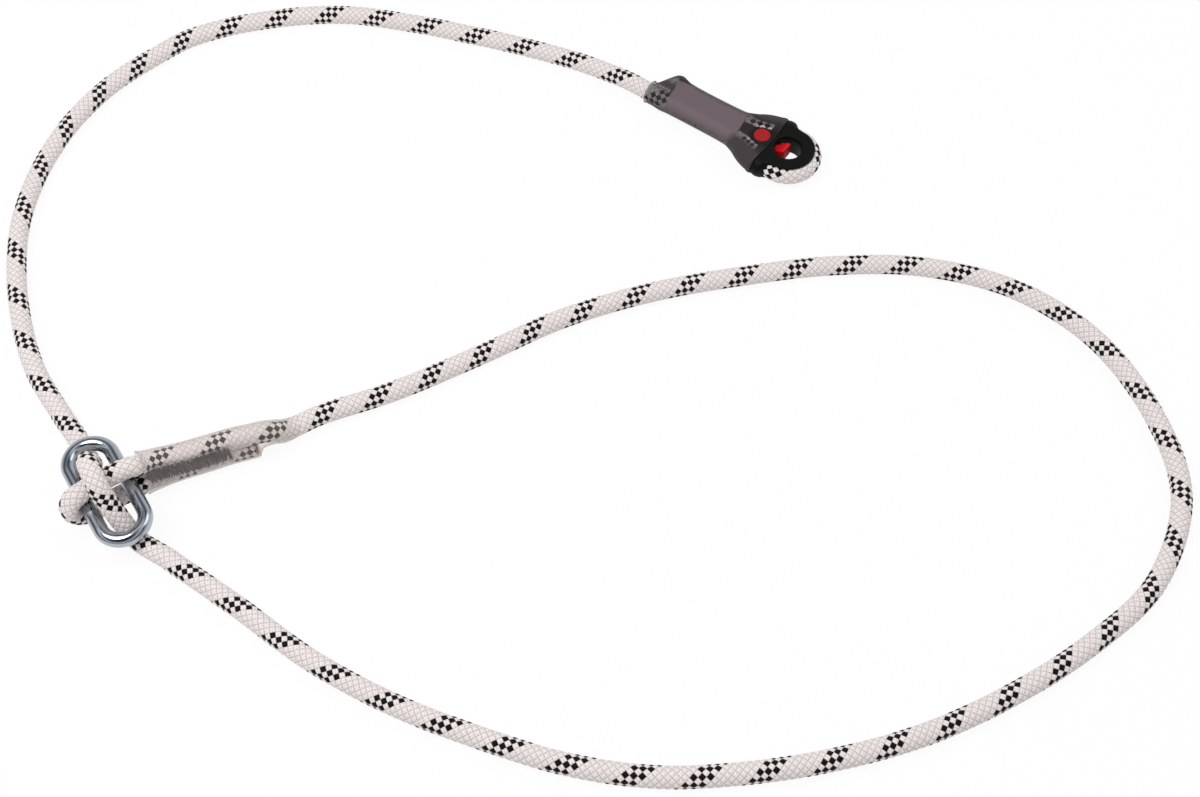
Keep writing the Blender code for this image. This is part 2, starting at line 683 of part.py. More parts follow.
loop_route = [
    (-0.2691, -0.17205, 0.00605), (-0.2640, -0.1688, 0.0060), (-0.2560, -0.1647, 0.0058), (-0.2220, -0.1510, rope_r),
    (-0.1790, -0.1290, rope_r), (-0.1350, -0.1050, rope_r), (-0.0880, -0.0880, rope_r), (-0.0380, -0.0770, rope_r),
    (0.0120, -0.0700, rope_r), (0.0610, -0.0710, rope_r), (0.1080, -0.0860, rope_r), (0.1450, -0.1170, rope_r),
    (0.1680, -0.1620, rope_r), (0.1750, -0.2120, rope_r), (0.1540, -0.2610, rope_r), (0.1170, -0.2940, rope_r),
    (0.0770, -0.3190, rope_r), (0.0360, -0.3380, rope_r), (-0.0050, -0.3500, rope_r), (-0.0470, -0.3570, rope_r),
    (-0.0890, -0.3590, rope_r), (-0.1300, -0.3530, rope_r), (-0.1710, -0.3400, rope_r), (-0.2110, -0.3240, rope_r),
    (-0.2510, -0.3020, rope_r), (-0.2890, -0.2740, rope_r), (-0.3230, -0.2502, rope_r),
]
cord('rope_loop', loop_route, 0.0240, rope_mat)
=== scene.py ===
import math
import bpy
import numpy as np
from mathutils import Matrix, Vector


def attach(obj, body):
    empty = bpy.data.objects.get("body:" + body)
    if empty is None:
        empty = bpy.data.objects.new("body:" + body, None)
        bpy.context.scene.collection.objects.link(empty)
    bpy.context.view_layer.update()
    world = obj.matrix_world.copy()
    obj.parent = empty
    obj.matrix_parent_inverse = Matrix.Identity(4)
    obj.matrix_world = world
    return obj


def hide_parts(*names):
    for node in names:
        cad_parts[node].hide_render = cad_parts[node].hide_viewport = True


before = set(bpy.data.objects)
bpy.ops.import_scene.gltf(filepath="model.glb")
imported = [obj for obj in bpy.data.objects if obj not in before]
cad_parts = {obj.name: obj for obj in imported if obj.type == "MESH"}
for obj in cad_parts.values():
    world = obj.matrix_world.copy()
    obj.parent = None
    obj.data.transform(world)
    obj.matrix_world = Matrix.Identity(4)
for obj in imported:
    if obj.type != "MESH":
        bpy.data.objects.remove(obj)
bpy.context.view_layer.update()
print("frame loaded")

view = {
    "lens": 52,  # mm, on a 36 mm sensor
    "lookDown": 57.5,  # degrees below the horizon
    "place": (-0.1152, -0.6365, 0.7603),
}

camera = bpy.data.objects.new("camera", bpy.data.cameras.new("camera"))
camera.data.lens = view["lens"]
camera.data.sensor_width = 36
camera.data.clip_start = 0.01
camera.location = view["place"]
camera.rotation_euler = (math.radians(90 - view["lookDown"]), 0, 0)
bpy.context.scene.collection.objects.link(camera)
bpy.context.scene.camera = camera


def toLinear(hexColour):
    parts = [int(hexColour[i:i + 2], 16) / 255 for i in (1, 3, 5)]
    return tuple(c / 12.92 if c <= 0.04045 else ((c + 0.055) / 1.055) ** 2.4 for c in parts) + (1,)


# A setting goes to the input of that name or number, or else to the node itself
def addNode(tree, kind, settings=(), links=()):
    node = tree.nodes.new("ShaderNode" + kind)
    for name, value in dict(settings).items():
        if name == "stops":
            ramp = node.color_ramp
            while len(ramp.elements) < len(value):
                ramp.elements.new(0.5)
            for element, (position, shade) in zip(ramp.elements, value):
                element.position = position
                element.color = toLinear(shade)
        elif isinstance(name, int) or name in node.inputs:
            node.inputs[name].default_value = value
        else:
            setattr(node, name, value)
    connect(tree, node, links)
    return node


def connect(tree, node, links):  # each input to a socket, or to a node's first output
    for name, source in dict(links).items():
        tree.links.new(getattr(source, "outputs", [source])[0], node.inputs[name])


sockets = {"colour": "Base Color", "roughness": "Roughness", "shine": "Specular IOR Level",
           "metallic": "Metallic", "sheen": "Sheen Weight", "sheenRoughness": "Sheen Roughness"}


def newMaterial(name, look):  # a Principled material, its tree and its shader, from a piece's values
    material = bpy.data.materials.new(name)
    material.use_nodes = True
    skin = material.node_tree.nodes["Principled BSDF"]
    for key, socket in sockets.items():
        if key in look:
            skin.inputs[socket].default_value = toLinear(look[key]) if key == "colour" else look[key]
    return material, material.node_tree, skin


# Places of the three sub-assemblies: the thimble, the adjuster link and the adjuster's splice
def standAt(x, y, z, turn):
    return Matrix.Translation((x, y, z)) @ Matrix.Rotation(math.radians(turn), 4, "Z")


thimbleFrame = standAt(-0.0094, 0.0067, 0.0068, -35.5)
spliceFrame = standAt(-0.3583, -0.216, 0, -58)
linkFrame = standAt(-0.3583, -0.216, 0.0156, -58)


def toRow(points, place):  # points of a sub-assembly in the row frame
    m = np.array(place)
    return np.asarray(points, float) @ m[:3, :3].T + m[:3, 3]


def hermite(start, startSlope, end, endSlope, t):
    return (start * (2 * t ** 3 - 3 * t ** 2 + 1) + startSlope * (t ** 3 - 2 * t ** 2 + t)
            + end * (3 * t ** 2 - 2 * t ** 3) + endSlope * (t ** 3 - t ** 2))


# A smooth line through points, in any number of coordinates
def throughPoints(points, between=12):
    p = np.asarray(points, float)
    p = np.vstack([2 * p[0] - p[1], p, 2 * p[-1] - p[-2]])
    line = [p[1]]
    t = np.arange(1, between + 1)[:, None] / between
    for a, b, c, d in zip(p, p[1:], p[2:], p[3:]):
        ta, tb, tc = (math.sqrt(np.linalg.norm(q)) for q in (b - a, c - b, d - c))
        slopeB = ((b - a) / ta - (c - a) / (ta + tb) + (c - b) / tb) * tb
        slopeC = ((c - b) / tb - (d - b) / (tb + tc) + (d - c) / tc) * tb
        line.extend(hermite(b, slopeB, c, slopeC, t))
    return np.array(line)


def runOf(line):
    return np.r_[0, np.cumsum(np.linalg.norm(np.diff(line, axis=0), axis=1))]


def evenLine(line, step):
    run = runOf(line)
    keep = np.r_[True, np.diff(run) > 1e-7]
    run, line = run[keep], line[keep]
    places = np.linspace(0, run[-1], max(2, round(run[-1] / step)) + 1)
    return np.stack([np.interp(places, run, line[:, k]) for k in range(line.shape[1])], axis=1)


def unit(v):
    return v / np.linalg.norm(v, axis=-1, keepdims=True)


def fadeIn(values, start, length):  # 0 up to the start, 1 from its length on
    return np.clip((values - start) / length, 0, 1)


def newPiece(name, points, faces, materials, place=None, smooth=True):
    mesh = bpy.data.meshes.new(name)
    mesh.from_pydata([tuple(p) for p in points], [], faces)
    for material in materials:
        mesh.materials.append(material)
    if smooth:
        mesh.shade_smooth()
    piece = bpy.data.objects.new(name, mesh)
    if place is not None:
        piece.matrix_world = place
    bpy.context.scene.collection.objects.link(piece)
    return piece


# Quads over rings of points, the ends capped or the last ring joined to the first
def skinFaces(ringCount, ringPoints, closed):
    faces = []
    following = [*range(1, ringPoints), 0]
    for i in range(ringCount if closed else ringCount - 1):
        a, b = i * ringPoints, (i + 1) % ringCount * ringPoints
        faces += [(a + k, a + n, b + n, b + k) for k, n in enumerate(following)]
    if not closed:
        faces.append(tuple(reversed(range(ringPoints))))
        faces.append(tuple(range((ringCount - 1) * ringPoints, ringCount * ringPoints)))
    return faces


def skinned(name, rings, materials, place, closed=False):
    rings = np.asarray(rings, float)
    faces = skinFaces(len(rings), rings.shape[1], closed)
    return newPiece(name, rings.reshape(-1, 3), faces, materials, place)


def withModifier(piece, kind, **settings):
    step = piece.modifiers.new(kind.lower(), kind)
    for name, value in settings.items():
        setattr(step, name, value)


def settle(piece):  # its modifiers become its mesh, and the tools go
    tools = [step.object for step in piece.modifiers if step.type == "BOOLEAN"]
    finished = piece.evaluated_get(bpy.context.evaluated_depsgraph_get())
    mesh = bpy.data.meshes.new_from_object(finished)
    piece.modifiers.clear()
    piece.data = mesh
    mesh.shade_smooth()
    for cutter in tools:
        bpy.data.objects.remove(cutter)
    return piece


rope = {
    "thickness": 0.0105,
    "crossing": 0.00372,  # from one crossing of two yarns to the next along the rope
    "yarns": 8,  # each way round
    "facets": 4,  # across one yarn
    "strands": 2,  # side by side in one yarn
    "yarnRise": 0.00037,
    "back": (2.2, 2.6),  # how flat a yarn's back is along it and across it
    "sunk": 0.62,  # share of the rise that lies inside the rope's radius
    "tracers": (-1, 0, 1),  # the yarns that are black, side by side
    "white": ("#F6EFEE", "#E4DBD9", "#C1B7B5"),  # on a strand, between two strands, between two yarns; the two darker ones are painted shade in the hollows
    # the black yarns darken the same way into their hollows: painted shade
    "black": ("#0D0A0A", "#080606", "#040303"),
    "fused": ("#8C6A50", "#5E4534", "#A98A6E"),  # mean, dark and light tone of a cut end
    "tipRings": ((0.0007, 0.9), (0.0011, 0.6)),  # of a cut end: how far out, share of the radius
    "tipReach": 0.0012,
    "tipLean": 0.002,  # how far a cut end's normals lean outwards
}
ropeRadius = rope["thickness"] / 2
touch = 0.0003  # room left between pieces that touch
legOff = ropeRadius + touch / 2

# The rope's line, from its tail in the thimble to its tail in the adjuster's splice
bight = {"eye": 0.0077, "wall": 0.001, "room": 0.00025, "wrapTo": 112, "legsJoin": -0.04,
         "tailEnd": -0.08, "leadEnd": -0.0911}
bightRadius = bight["eye"] + bight["wall"] + bight["room"] + ropeRadius


def bightLine():
    turn = math.radians(bight["wrapTo"])
    join = np.array([bight["legsJoin"], legOff, 0])
    first = bightRadius * np.array([math.cos(turn), math.sin(turn), 0])
    reach = np.linalg.norm(first - join)
    arrival = reach * np.array([math.sin(turn), -math.cos(turn), 0])
    flare = hermite(join, np.array([reach, 0, 0]), first, arrival, np.arange(0, 25)[:, None] / 24)
    angles = np.radians(np.arange(bight["wrapTo"] - 4, -bight["wrapTo"], -4))
    arc = bightRadius * np.stack([np.cos(angles), np.sin(angles), 0 * angles], axis=1)
    mirrored = flare[::-1] * np.array([1, -1, 1])
    tail, lead = (bight["tailEnd"], legOff, 0), (bight["leadEnd"], -legOff, 0)
    return np.vstack([tail, flare, arc, mirrored, lead])


def onFloor(*places):
    return [(x, y, ropeRadius) for x, y in places]


leadRoute = [
    (-0.087, 0.0554, 0.0068), (-0.0985, 0.0636, 0.0066), (-0.111, 0.071, 0.0061), (-0.131, 0.081, 0.0055),
    *onFloor((-0.152, 0.089), (-0.173, 0.096), (-0.194, 0.102), (-0.215, 0.108), (-0.237, 0.113),
             (-0.258, 0.117), (-0.28, 0.118), (-0.302, 0.116), (-0.323, 0.112), (-0.343, 0.106),
             (-0.362, 0.097), (-0.379, 0.083), (-0.395, 0.068), (-0.409, 0.05), (-0.42, 0.03),
             (-0.428, 0.008), (-0.433, -0.015), (-0.435, -0.04), (-0.433, -0.064),
             (-0.428, -0.089), (-0.421, -0.112), (-0.412, -0.134), (-0.401, -0.1523),
             (-0.393, -0.1634)),
]
loopRoute = [
    (-0.2691, -0.17205, 0.00605), (-0.264, -0.1688, 0.006), (-0.256, -0.1647, 0.0058),
    *onFloor((-0.222, -0.151), (-0.179, -0.129), (-0.135, -0.105), (-0.088, -0.088),
             (-0.038, -0.077), (0.012, -0.07), (0.061, -0.071), (0.108, -0.086), (0.145, -0.117),
             (0.168, -0.162), (0.175, -0.212), (0.154, -0.261), (0.117, -0.294), (0.077, -0.319),
             (0.036, -0.338), (-0.005, -0.35), (-0.047, -0.357), (-0.089, -0.359),
             (-0.13, -0.353), (-0.171, -0.34), (-0.211, -0.324), (-0.251, -0.302),
             (-0.289, -0.274), (-0.323, -0.2502)),
]

# The adjuster link and how the rope runs in it; the splice's upper and lower leg, place by place
link = {"bar": 0.0076, "arc": 0.0112, "half": 0.019, "height": 0.0156, "overX": -0.0008,
        "press": 0.15}  # how much the far bar flattens the rope
barRadius = link["bar"] / 2
wrapRadius = barRadius + ropeRadius + touch
splicePairs = [
    ((-0.0017, 0.0207, 0.0201), (0.0002, 0.0181, 0.008)),
    ((-0.0013, 0.03, 0.0176), (0.0011, 0.028, 0.0076)),
    ((0.0008, 0.041, 0.0161), (0.0021, 0.0389, 0.0064)),
    ((0.0029, 0.0532, 0.0151), (0.0045, 0.051, 0.0062)),
    ((0.0051, 0.0645, 0.0146), (0.0066, 0.0625, 0.0062)),
    ((0.0083, 0.0762, 0.0141), (0.0096, 0.0746, 0.0062)),
]
spliceMerge = [
    ((0.0085, 0.0775, 0.014), (0.0098, 0.0762, 0.0068)),
    ((0.0088, 0.0793, 0.0136), (0.0099, 0.0773, 0.0096)),
    ((0.0091, 0.0815, 0.0128), (0.0098, 0.0793, 0.0116)),
    ((0.0095, 0.0862, 0.0102), (0.0096, 0.0855, 0.01)),
    ((0.0098, 0.0905, 0.0075), (0.0099, 0.0905, 0.0072)),
    ((0.01, 0.094, 0.0064), (0.01, 0.094, 0.0063)),
]
spliceSingle = [(0.01, 0.0968, 0.00606), (0.01, 0.0985, 0.00605)]
climb = [(link["overX"], link["arc"] + wrapRadius * math.cos(a), link["height"] + wrapRadius * math.sin(a))
         for a in map(math.radians, (56, 72, 88))]
strandHigh, strandLow = link["height"] + wrapRadius, link["height"] - wrapRadius
lowerStart = [(0.0004, -0.003, strandLow), (0.0002, 0.006, strandLow),
              (0.0002, 0.0113, strandLow - 0.0001), (0.0005, 0.0146, strandLow + 0.0006)]


def spliceLine():  # from the loop's end in over the link's far bar, round it and back under to the tail
    upper = spliceSingle[::-1] + [a for a, b in reversed(splicePairs + spliceMerge)] + climb
    upper += [(link["overX"], 0.005, strandHigh - 0.0001), (link["overX"], -0.003, strandHigh - 0.0001)]
    halfTurn = []
    for a in np.radians(np.arange(0, 181, 15)):
        radius = wrapRadius - link["press"] * ropeRadius * math.sin(a)
        halfTurn.append((0.0006, -link["arc"] - radius * math.sin(a), link["height"] + radius * math.cos(a)))
    lower = lowerStart + [b for a, b in splicePairs]
    return throughPoints(upper + halfTurn + lower)


def crossingLine():  # up through the link, over the eye's strand and down again
    underRadius, overRadius = wrapRadius + 0.001, 2 * ropeRadius + 0.0005
    endX = link["half"] + link["arc"]
    rise = [(endX - underRadius * math.sin(a), link["height"] - underRadius * math.cos(a))
            for a in map(math.radians, (0, 15, 30, 45, 60))]
    over = [(link["overX"] + overRadius * math.sin(a), strandHigh + overRadius * math.cos(a))
            for a in map(math.radians, (-60, -40, -20, 0, 20, 40, 60))]
    line = [(x, ropeRadius) for x in (-0.0626, -0.051, -0.04)] + [(-x, z) for x, z in rise] + over
    line += rise[::-1] + [(x, ropeRadius) for x in (0.039, 0.0445, 0.0473)]
    sway = np.array([(-0.0626, -0.0015), (-0.04, 0), (-0.019, -0.0002), (-0.01, -0.0019), (0, -0.0028),
                     (0.008, -0.0031), (0.0125, -0.0027), (0.0183, -0.0008), (0.024, 0.001),
                     (0.0302, 0.0033), (0.039, 0.0077), (0.0445, 0.0106), (0.0473, 0.0117)])
    return throughPoints([(x, np.interp(x, *sway.T), z) for x, z in line])


parts = [
    ("rope_thimble_eye", toRow(bightLine(), thimbleFrame)),
    ("rope_lead", throughPoints(leadRoute)),
    ("rope_in_adjuster", toRow(crossingLine(), spliceFrame)),
    ("rope_loop", throughPoints(loopRoute)[::-1]),
    ("rope_adjuster_eye", toRow(spliceLine(), spliceFrame)),
]
partEnds = np.cumsum([runOf(line)[-1] for name, line in parts])
ropeLine = evenLine(np.vstack([line for name, line in parts]), 0.0005)
ropeRun = runOf(ropeLine)
ropeHeading = unit(np.gradient(ropeLine, axis=0))

# Side and top of the rope carried along its line without turning round it
ropeSide = np.zeros_like(ropeLine)
ropeSide[0] = unit(np.cross(ropeHeading[0], (0, 0, 1)))
for i in range(1, len(ropeLine)):
    ropeSide[i] = unit(ropeSide[i - 1] - ropeHeading[i] * (ropeSide[i - 1] @ ropeHeading[i]))
ropeTop = np.cross(ropeSide, ropeHeading)

# How far the black yarns have slipped round the rope, in degrees, at places along it in metres
slip = np.array([
    (0, -60), (0.05, -42), (0.09, 30), (0.128, 36), (0.165, -42), (0.22, -35), (0.3, -8), (0.42, 13),
    (0.48, 26), (0.54, 45), (0.58, 53), (0.62, 77), (0.66, 87), (0.7, 120), (0.76, 145), (0.8, 158),
    (0.87, 118), (0.897, 48), (0.93, 60), (0.96, 68), (1, 78), (1.06, 93), (1.1, 80), (1.16, 90),
    (1.24, 117), (1.28, 115), (1.35, 93), (1.42, 125), (1.48, 146), (1.54, 143), (1.62, 156), (1.67, 168),
    (1.74, 161), (1.8, 164), (1.86, 162), (1.92, 174), (1.98, 177), (2.02, 166), (2.08, 150), (2.32, 100),
])
yarnAngle = 360 / rope["yarns"]
ropeCrossings = ropeRun / rope["crossing"] - np.interp(ropeRun, *slip.T) / yarnAngle
rowsPerCrossing = 2 * rope["facets"]
aroundCount = rope["facets"] * rope["yarns"]
firstRowNumber, lastRowNumber = ropeCrossings[[0, -1]] * rowsPerCrossing
rowNumbers = np.arange(math.ceil(firstRowNumber), int(lastRowNumber) + 1)
rowRuns = np.interp(rowNumbers / rowsPerCrossing, ropeCrossings, ropeRun)


def alongRope(values, runs):
    return np.stack([np.interp(runs, ropeRun, values[:, k]) for k in range(3)], axis=1)


def headingAt(row):
    return alongRope(ropeHeading, rowRuns[row:row + 1])[0]


# Where a point of the braid lies in its own yarn: run along it, place across it, and which yarn
def inYarn(crossings, angles):  # angles in yarns, not degrees
    i, j = np.round(crossings), np.round(angles)
    onTop = np.abs(crossings - i) + np.abs(angles - j) <= 0.5 + 1e-6
    i = np.where(onTop, i, np.floor(crossings) + 0.5)
    j = np.where(onTop, j, np.floor(angles) + 0.5)
    down, across = crossings - i, angles - j
    along = np.where(onTop, down - across, down + across)
    over = np.where(onTop, down + across, down - across)
    tracer = onTop & np.isin(np.mod(i + j + 1, rope["yarns"]) - 1, rope["tracers"])
    return along, over, tracer, i, j


columns = (np.arange(aroundCount)[None, :] + 0.5 * (rowNumbers[:, None] % 2)) / rope["facets"]
crossingGrid = np.repeat(rowNumbers[:, None] / rowsPerCrossing, aroundCount, axis=1)
along, over = inYarn(crossingGrid, columns)[:2]
crown = (1 - np.abs(2 * along) ** rope["back"][0]) * (1 - np.abs(2 * over) ** rope["back"][1])
turn = np.radians(columns * yarnAngle)
centres, sides, tops = (alongRope(v, rowRuns) for v in (ropeLine, ropeSide, ropeTop))
radii = ropeRadius + rope["yarnRise"] * (crown - rope["sunk"])
spokes = unit(sides)[:, None] * np.sin(turn)[..., None] + unit(tops)[:, None] * np.cos(turn)[..., None]
surface = centres[:, None] + spokes * radii[..., None]

# Two legs that lie on each other press flat where they meet, and the seam pulls their outer sides in
press = {"gap": 0.0001,  # left between each leg and the plane where they meet
         "near": 2.2,  # legs closer than this many radii press
         "start": 0.012}  # they lie on each other from here on, past the link's near bar
sewn = {"from": 0.0205, "to": 0.0635, "fade": 0.0025, "deep": 0.00105, "over": 0.0017, "ramp": 0.0012}


def pressLegs(first, second):
    for rows, others in ((first, second), (second, first)):
        away = centres[others][None] - centres[rows][:, None]
        distance = np.linalg.norm(away, axis=2)
        for row, ways, gaps, k in zip(rows, away, distance, np.argmin(distance, axis=1)):
            if gaps[k] > press["near"] * ropeRadius:
                continue
            normal = unit(ways[k])
            limit = gaps[k] / 2 - press["gap"]
            offsets = surface[row] - centres[row]
            reach = offsets @ normal
            sideways = unit(np.cross(normal, headingAt(row)))
            place = toRow(centres[row], spliceFrame.inverted())[1]
            grip = np.clip(min(place - sewn["from"], sewn["to"] - place) / sewn["fade"] + 1, 0, 1)
            depth = grip * sewn["deep"] * fadeIn(reach, -sewn["over"], sewn["ramp"])
            height = offsets @ sideways
            smooth = height * ropeRadius / radii[row]
            pulled = np.sign(height) * np.maximum(0, np.abs(smooth) - (ropeRadius - depth))
            surface[row] -= pulled[:, None] * sideways + np.maximum(0, reach - limit)[:, None] * normal


eyeLine = parts[4][1]
turnRun = partEnds[3] + runOf(eyeLine)[np.argmin(toRow(eyeLine, spliceFrame.inverted())[:, 1])]
eyeRows = np.nonzero(rowRuns > partEnds[3])[0]
eyeAcross = toRow(centres[eyeRows], spliceFrame.inverted())[:, 1]
pastBar, beforeTurn = eyeAcross > press["start"], rowRuns[eyeRows] < turnRun
pressLegs(eyeRows[pastBar & beforeTurn], eyeRows[pastBar & ~beforeTurn])

# Round the far bar the rope is pressed flatter and wider
lateral = np.array(spliceFrame)[:3, 0]
for row, across in zip(eyeRows, eyeAcross):
    pressed = link["press"] * max(0, -link["arc"] - across) / wrapRadius
    if pressed:
        offsets = surface[row] - centres[row]
        radial = unit(np.cross(lateral, headingAt(row)))
        wider, flatter = (offsets @ lateral)[:, None] * lateral, (offsets @ radial)[:, None] * radial
        surface[row] += pressed * (wider - flatter)


def stripFaces(first, last):  # triangles between rows, each inside one yarn
    rows = np.arange(first, last)[:, None]
    k = np.arange(aroundCount)[None, :]
    odd = rowNumbers[rows] % 2
    here, after = rows * aroundCount, (rows + 1) * aroundCount
    ahead = (k + 1) % aroundCount
    back = (k - 1) % aroundCount
    down = np.stack([here + k, here + ahead, after + np.where(odd, ahead, k)], axis=-1)
    up = np.where(odd[..., None], np.stack([after + k, after + back, here + back], axis=-1),
                  np.stack([after + k, after + back, here + k], axis=-1))
    return np.concatenate([down.reshape(-1, 3), up.reshape(-1, 3)])


# Normals of the whole rope, so that no seam shows where two of its pieces meet
allFaces = stripFaces(0, len(rowNumbers) - 1)
flat = surface.reshape(-1, 3)
corners = flat[allFaces]
faceNormals = np.cross(corners[:, 1] - corners[:, 0], corners[:, 2] - corners[:, 0])
normals = np.zeros_like(flat)
for corner in range(3):
    np.add.at(normals, allFaces[:, corner], faceNormals)
normals = unit(normals)
print("rope laid:", len(rowNumbers), "rows", round(ropeRun[-1], 4), "m")

# Braided polyamide sheath: soft white multifilament yarn, matt with a faint sheen along its filaments
yarnLook = {"roughness": 0.62, "sheenRoughness": 0.4,
            "filaments": (0.7, 10, 1),  # streaks per yarn, drawn coarser than the real filaments
            # stops: where the colour turns from the painted shade between yarns, to that between strands, to
            # a strand's top
            "stops": (0.05, 0.5, 0.85), "bump": 0.5, "bumpHeight": 0.0003}


def yarnMaterial(name, shadedColours, sheen, shine):
    material, tree, skin = newMaterial(name, {**yarnLook, "sheen": sheen, "shine": shine})
    uv = addNode(tree, "UVMap", {"uv_map": "yarn"})
    stretch = addNode(tree, "Mapping", {"Scale": yarnLook["filaments"]}, {"Vector": uv})
    filaments = addNode(tree, "TexNoise", {"Scale": 1, "Detail": 1.5, "Roughness": 0.5},
                        {"Vector": stretch})
    across = addNode(tree, "SeparateXYZ", {}, {"Vector": uv})
    strand = addNode(tree, "Math", {"operation": "MULTIPLY_ADD", 1: rope["strands"],
                                    2: 0.5 * (rope["strands"] % 2)}, {0: across.outputs["Y"]})
    strandHeight = addNode(tree, "Math", {"operation": "PINGPONG", 1: 0.5}, {0: strand})
    back = addNode(tree, "Attribute", {"attribute_name": "crown"}).outputs["Fac"]
    rough = addNode(tree, "Math", {"operation": "MULTIPLY_ADD", 1: 0.5, 2: -0.25}, {0: filaments})
    yarn = addNode(tree, "Math", {"operation": "MULTIPLY_ADD", 1: 0.5}, {0: back, 2: rough})
    height = addNode(tree, "Math", {"operation": "ADD"}, {0: yarn, 1: strandHeight})
    # The colour darkens from a yarn's crown down into the hollows between strands and between yarns: painted
    # shade
    tone = addNode(tree, "ValToRGB", {"stops": list(zip(yarnLook["stops"], shadedColours[::-1]))}, {"Fac": height})
    bump = addNode(tree, "Bump", {"Strength": yarnLook["bump"], "Distance": yarnLook["bumpHeight"]},
                   {"Height": height})
    connect(tree, skin, {"Base Color": tone, "Normal": bump})
    return material


# Heat-fused polyamide: the brown, glassy skin of a cut rope end
def fusedMaterial():
    mean, *tones = rope["fused"]
    material, tree, skin = newMaterial("heat_fused_polyamide", {"colour": mean, "roughness": 0.4})
    lumps = addNode(tree, "TexNoise", {"Scale": 900, "Detail": 3})
    tone = addNode(tree, "ValToRGB", {"stops": list(zip((0.3, 0.7), tones))}, {"Fac": lumps})
    connect(tree, skin, {"Base Color": tone})
    return material


ropeMaterials = [yarnMaterial("braided_polyamide_white", rope["white"], 0.15, 0.3),
                 yarnMaterial("braided_polyamide_black", rope["black"], 0.02, 0.15), fusedMaterial()]


# The corners of each triangle as crossings and yarns round, without the step where a turn ends
def columnsOf(firstRow, faces):
    rows, k = faces // aroundCount + firstRow, faces % aroundCount
    crossings = rowNumbers[rows] / rowsPerCrossing
    angles = (k + 0.5 * (rowNumbers[rows] % 2)) / rope["facets"]
    return crossings, angles - rope["yarns"] * np.round((angles - angles[:, :1]) / rope["yarns"])


# Closes a rope piece over an end ring, rounded where the rope is cut
def ropeEnd(row, tip, heading, ring, count):
    t = headingAt(row) * heading
    points, faces, pointNormals = [], [], []
    base = ring
    for ahead, share in rope["tipRings"] if tip else ():
        newRing = centres[row] + (surface[row] - centres[row]) * share + t * ahead
        nextRing = count + len(points) + np.arange(aroundCount)
        points += list(newRing)
        lean = t * rope["tipLean"] * ahead / rope["tipRings"][-1][0]
        pointNormals += list(unit(newRing - centres[row] + lean))
        faces += list(zip(base, np.roll(base, -1), np.roll(nextRing, -1), nextRing))
        base = nextRing
    centre = count + len(points)
    points.append(centres[row] + t * (rope["tipReach"] if tip else 0))
    pointNormals.append(t)
    faces += [(a, b, centre) for a, b in zip(base, np.roll(base, -1))]
    return points, [f if heading > 0 else f[::-1] for f in faces], pointNormals


def ropePiece(name, firstRow, lastRow, startTip, endTip):
    faces = stripFaces(firstRow, lastRow) - firstRow * aroundCount
    points = list(surface[firstRow:lastRow + 1].reshape(-1, 3))
    pointNormals = list(normals[firstRow * aroundCount:(lastRow + 1) * aroundCount])
    crowns = crown[firstRow:lastRow + 1].ravel()
    crossings, angles = columnsOf(firstRow, faces)
    black, i, j = inYarn(crossings.mean(axis=1), angles.mean(axis=1))[2:]
    onTop = (np.abs(i % 1) < 0.25)[:, None]
    down, across = crossings - i[:, None], angles - j[:, None]
    u = np.where(onTop, down - across, down + across) + 4 * i[:, None]  # each yarn its own part of the noise
    v = np.where(onTop, down + across, down - across) + 6 * j[:, None]
    capFaces = []
    for row, tip, heading in ((firstRow, startTip, -1), (lastRow, endTip, 1)):
        ring = (row - firstRow) * aroundCount + np.arange(aroundCount)
        more = ropeEnd(row, tip, heading, ring, len(points))
        points += more[0]
        capFaces += more[1]
        pointNormals += more[2]
    everyFace = [tuple(f) for f in faces.tolist()] + [tuple(int(x) for x in f) for f in capFaces]
    piece = newPiece(name, points, everyFace, ropeMaterials)
    mesh = piece.data
    kinds = np.r_[black.astype(int), np.full(len(capFaces), 2)]
    mesh.polygons.foreach_set("material_index", kinds.astype(np.int32))
    corners = np.zeros((len(mesh.loops), 2), np.float32)
    corners[:faces.size, 0], corners[:faces.size, 1] = u.ravel(), v.ravel()
    mesh.uv_layers.new(name="yarn").data.foreach_set("uv", corners.ravel())
    crowns = np.r_[crowns, np.ones(len(points) - len(crowns))].astype(np.float32)
    # The yarn's height over its back; the material also reads it for the painted shade in the hollows
    mesh.attributes.new("crown", "FLOAT", "POINT").data.foreach_set("value", crowns)
    mesh.normals_split_custom_set_from_vertices(np.array(pointNormals).tolist())
    return piece


def wholePiece(piece, node):
    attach(piece, "lanyard")
    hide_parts(node)


rowCuts = [0] + [int(np.argmin(np.abs(rowRuns - end))) for end in partEnds[:-1]] + [len(rowNumbers) - 1]
for (name, line), first, last in zip(parts, rowCuts, rowCuts[1:]):
    piece = ropePiece(name + "_braid", first, last, first == 0, last == len(rowNumbers) - 1)
    wholePiece(piece, name)
for name, index in (("rope_lead", 1), ("rope_loop", 3)):
    path = evenLine(centres[rowCuts[index]:rowCuts[index + 1] + 1], 0.004)
    float(runOf(path)[-1])
print("rope pieces made")

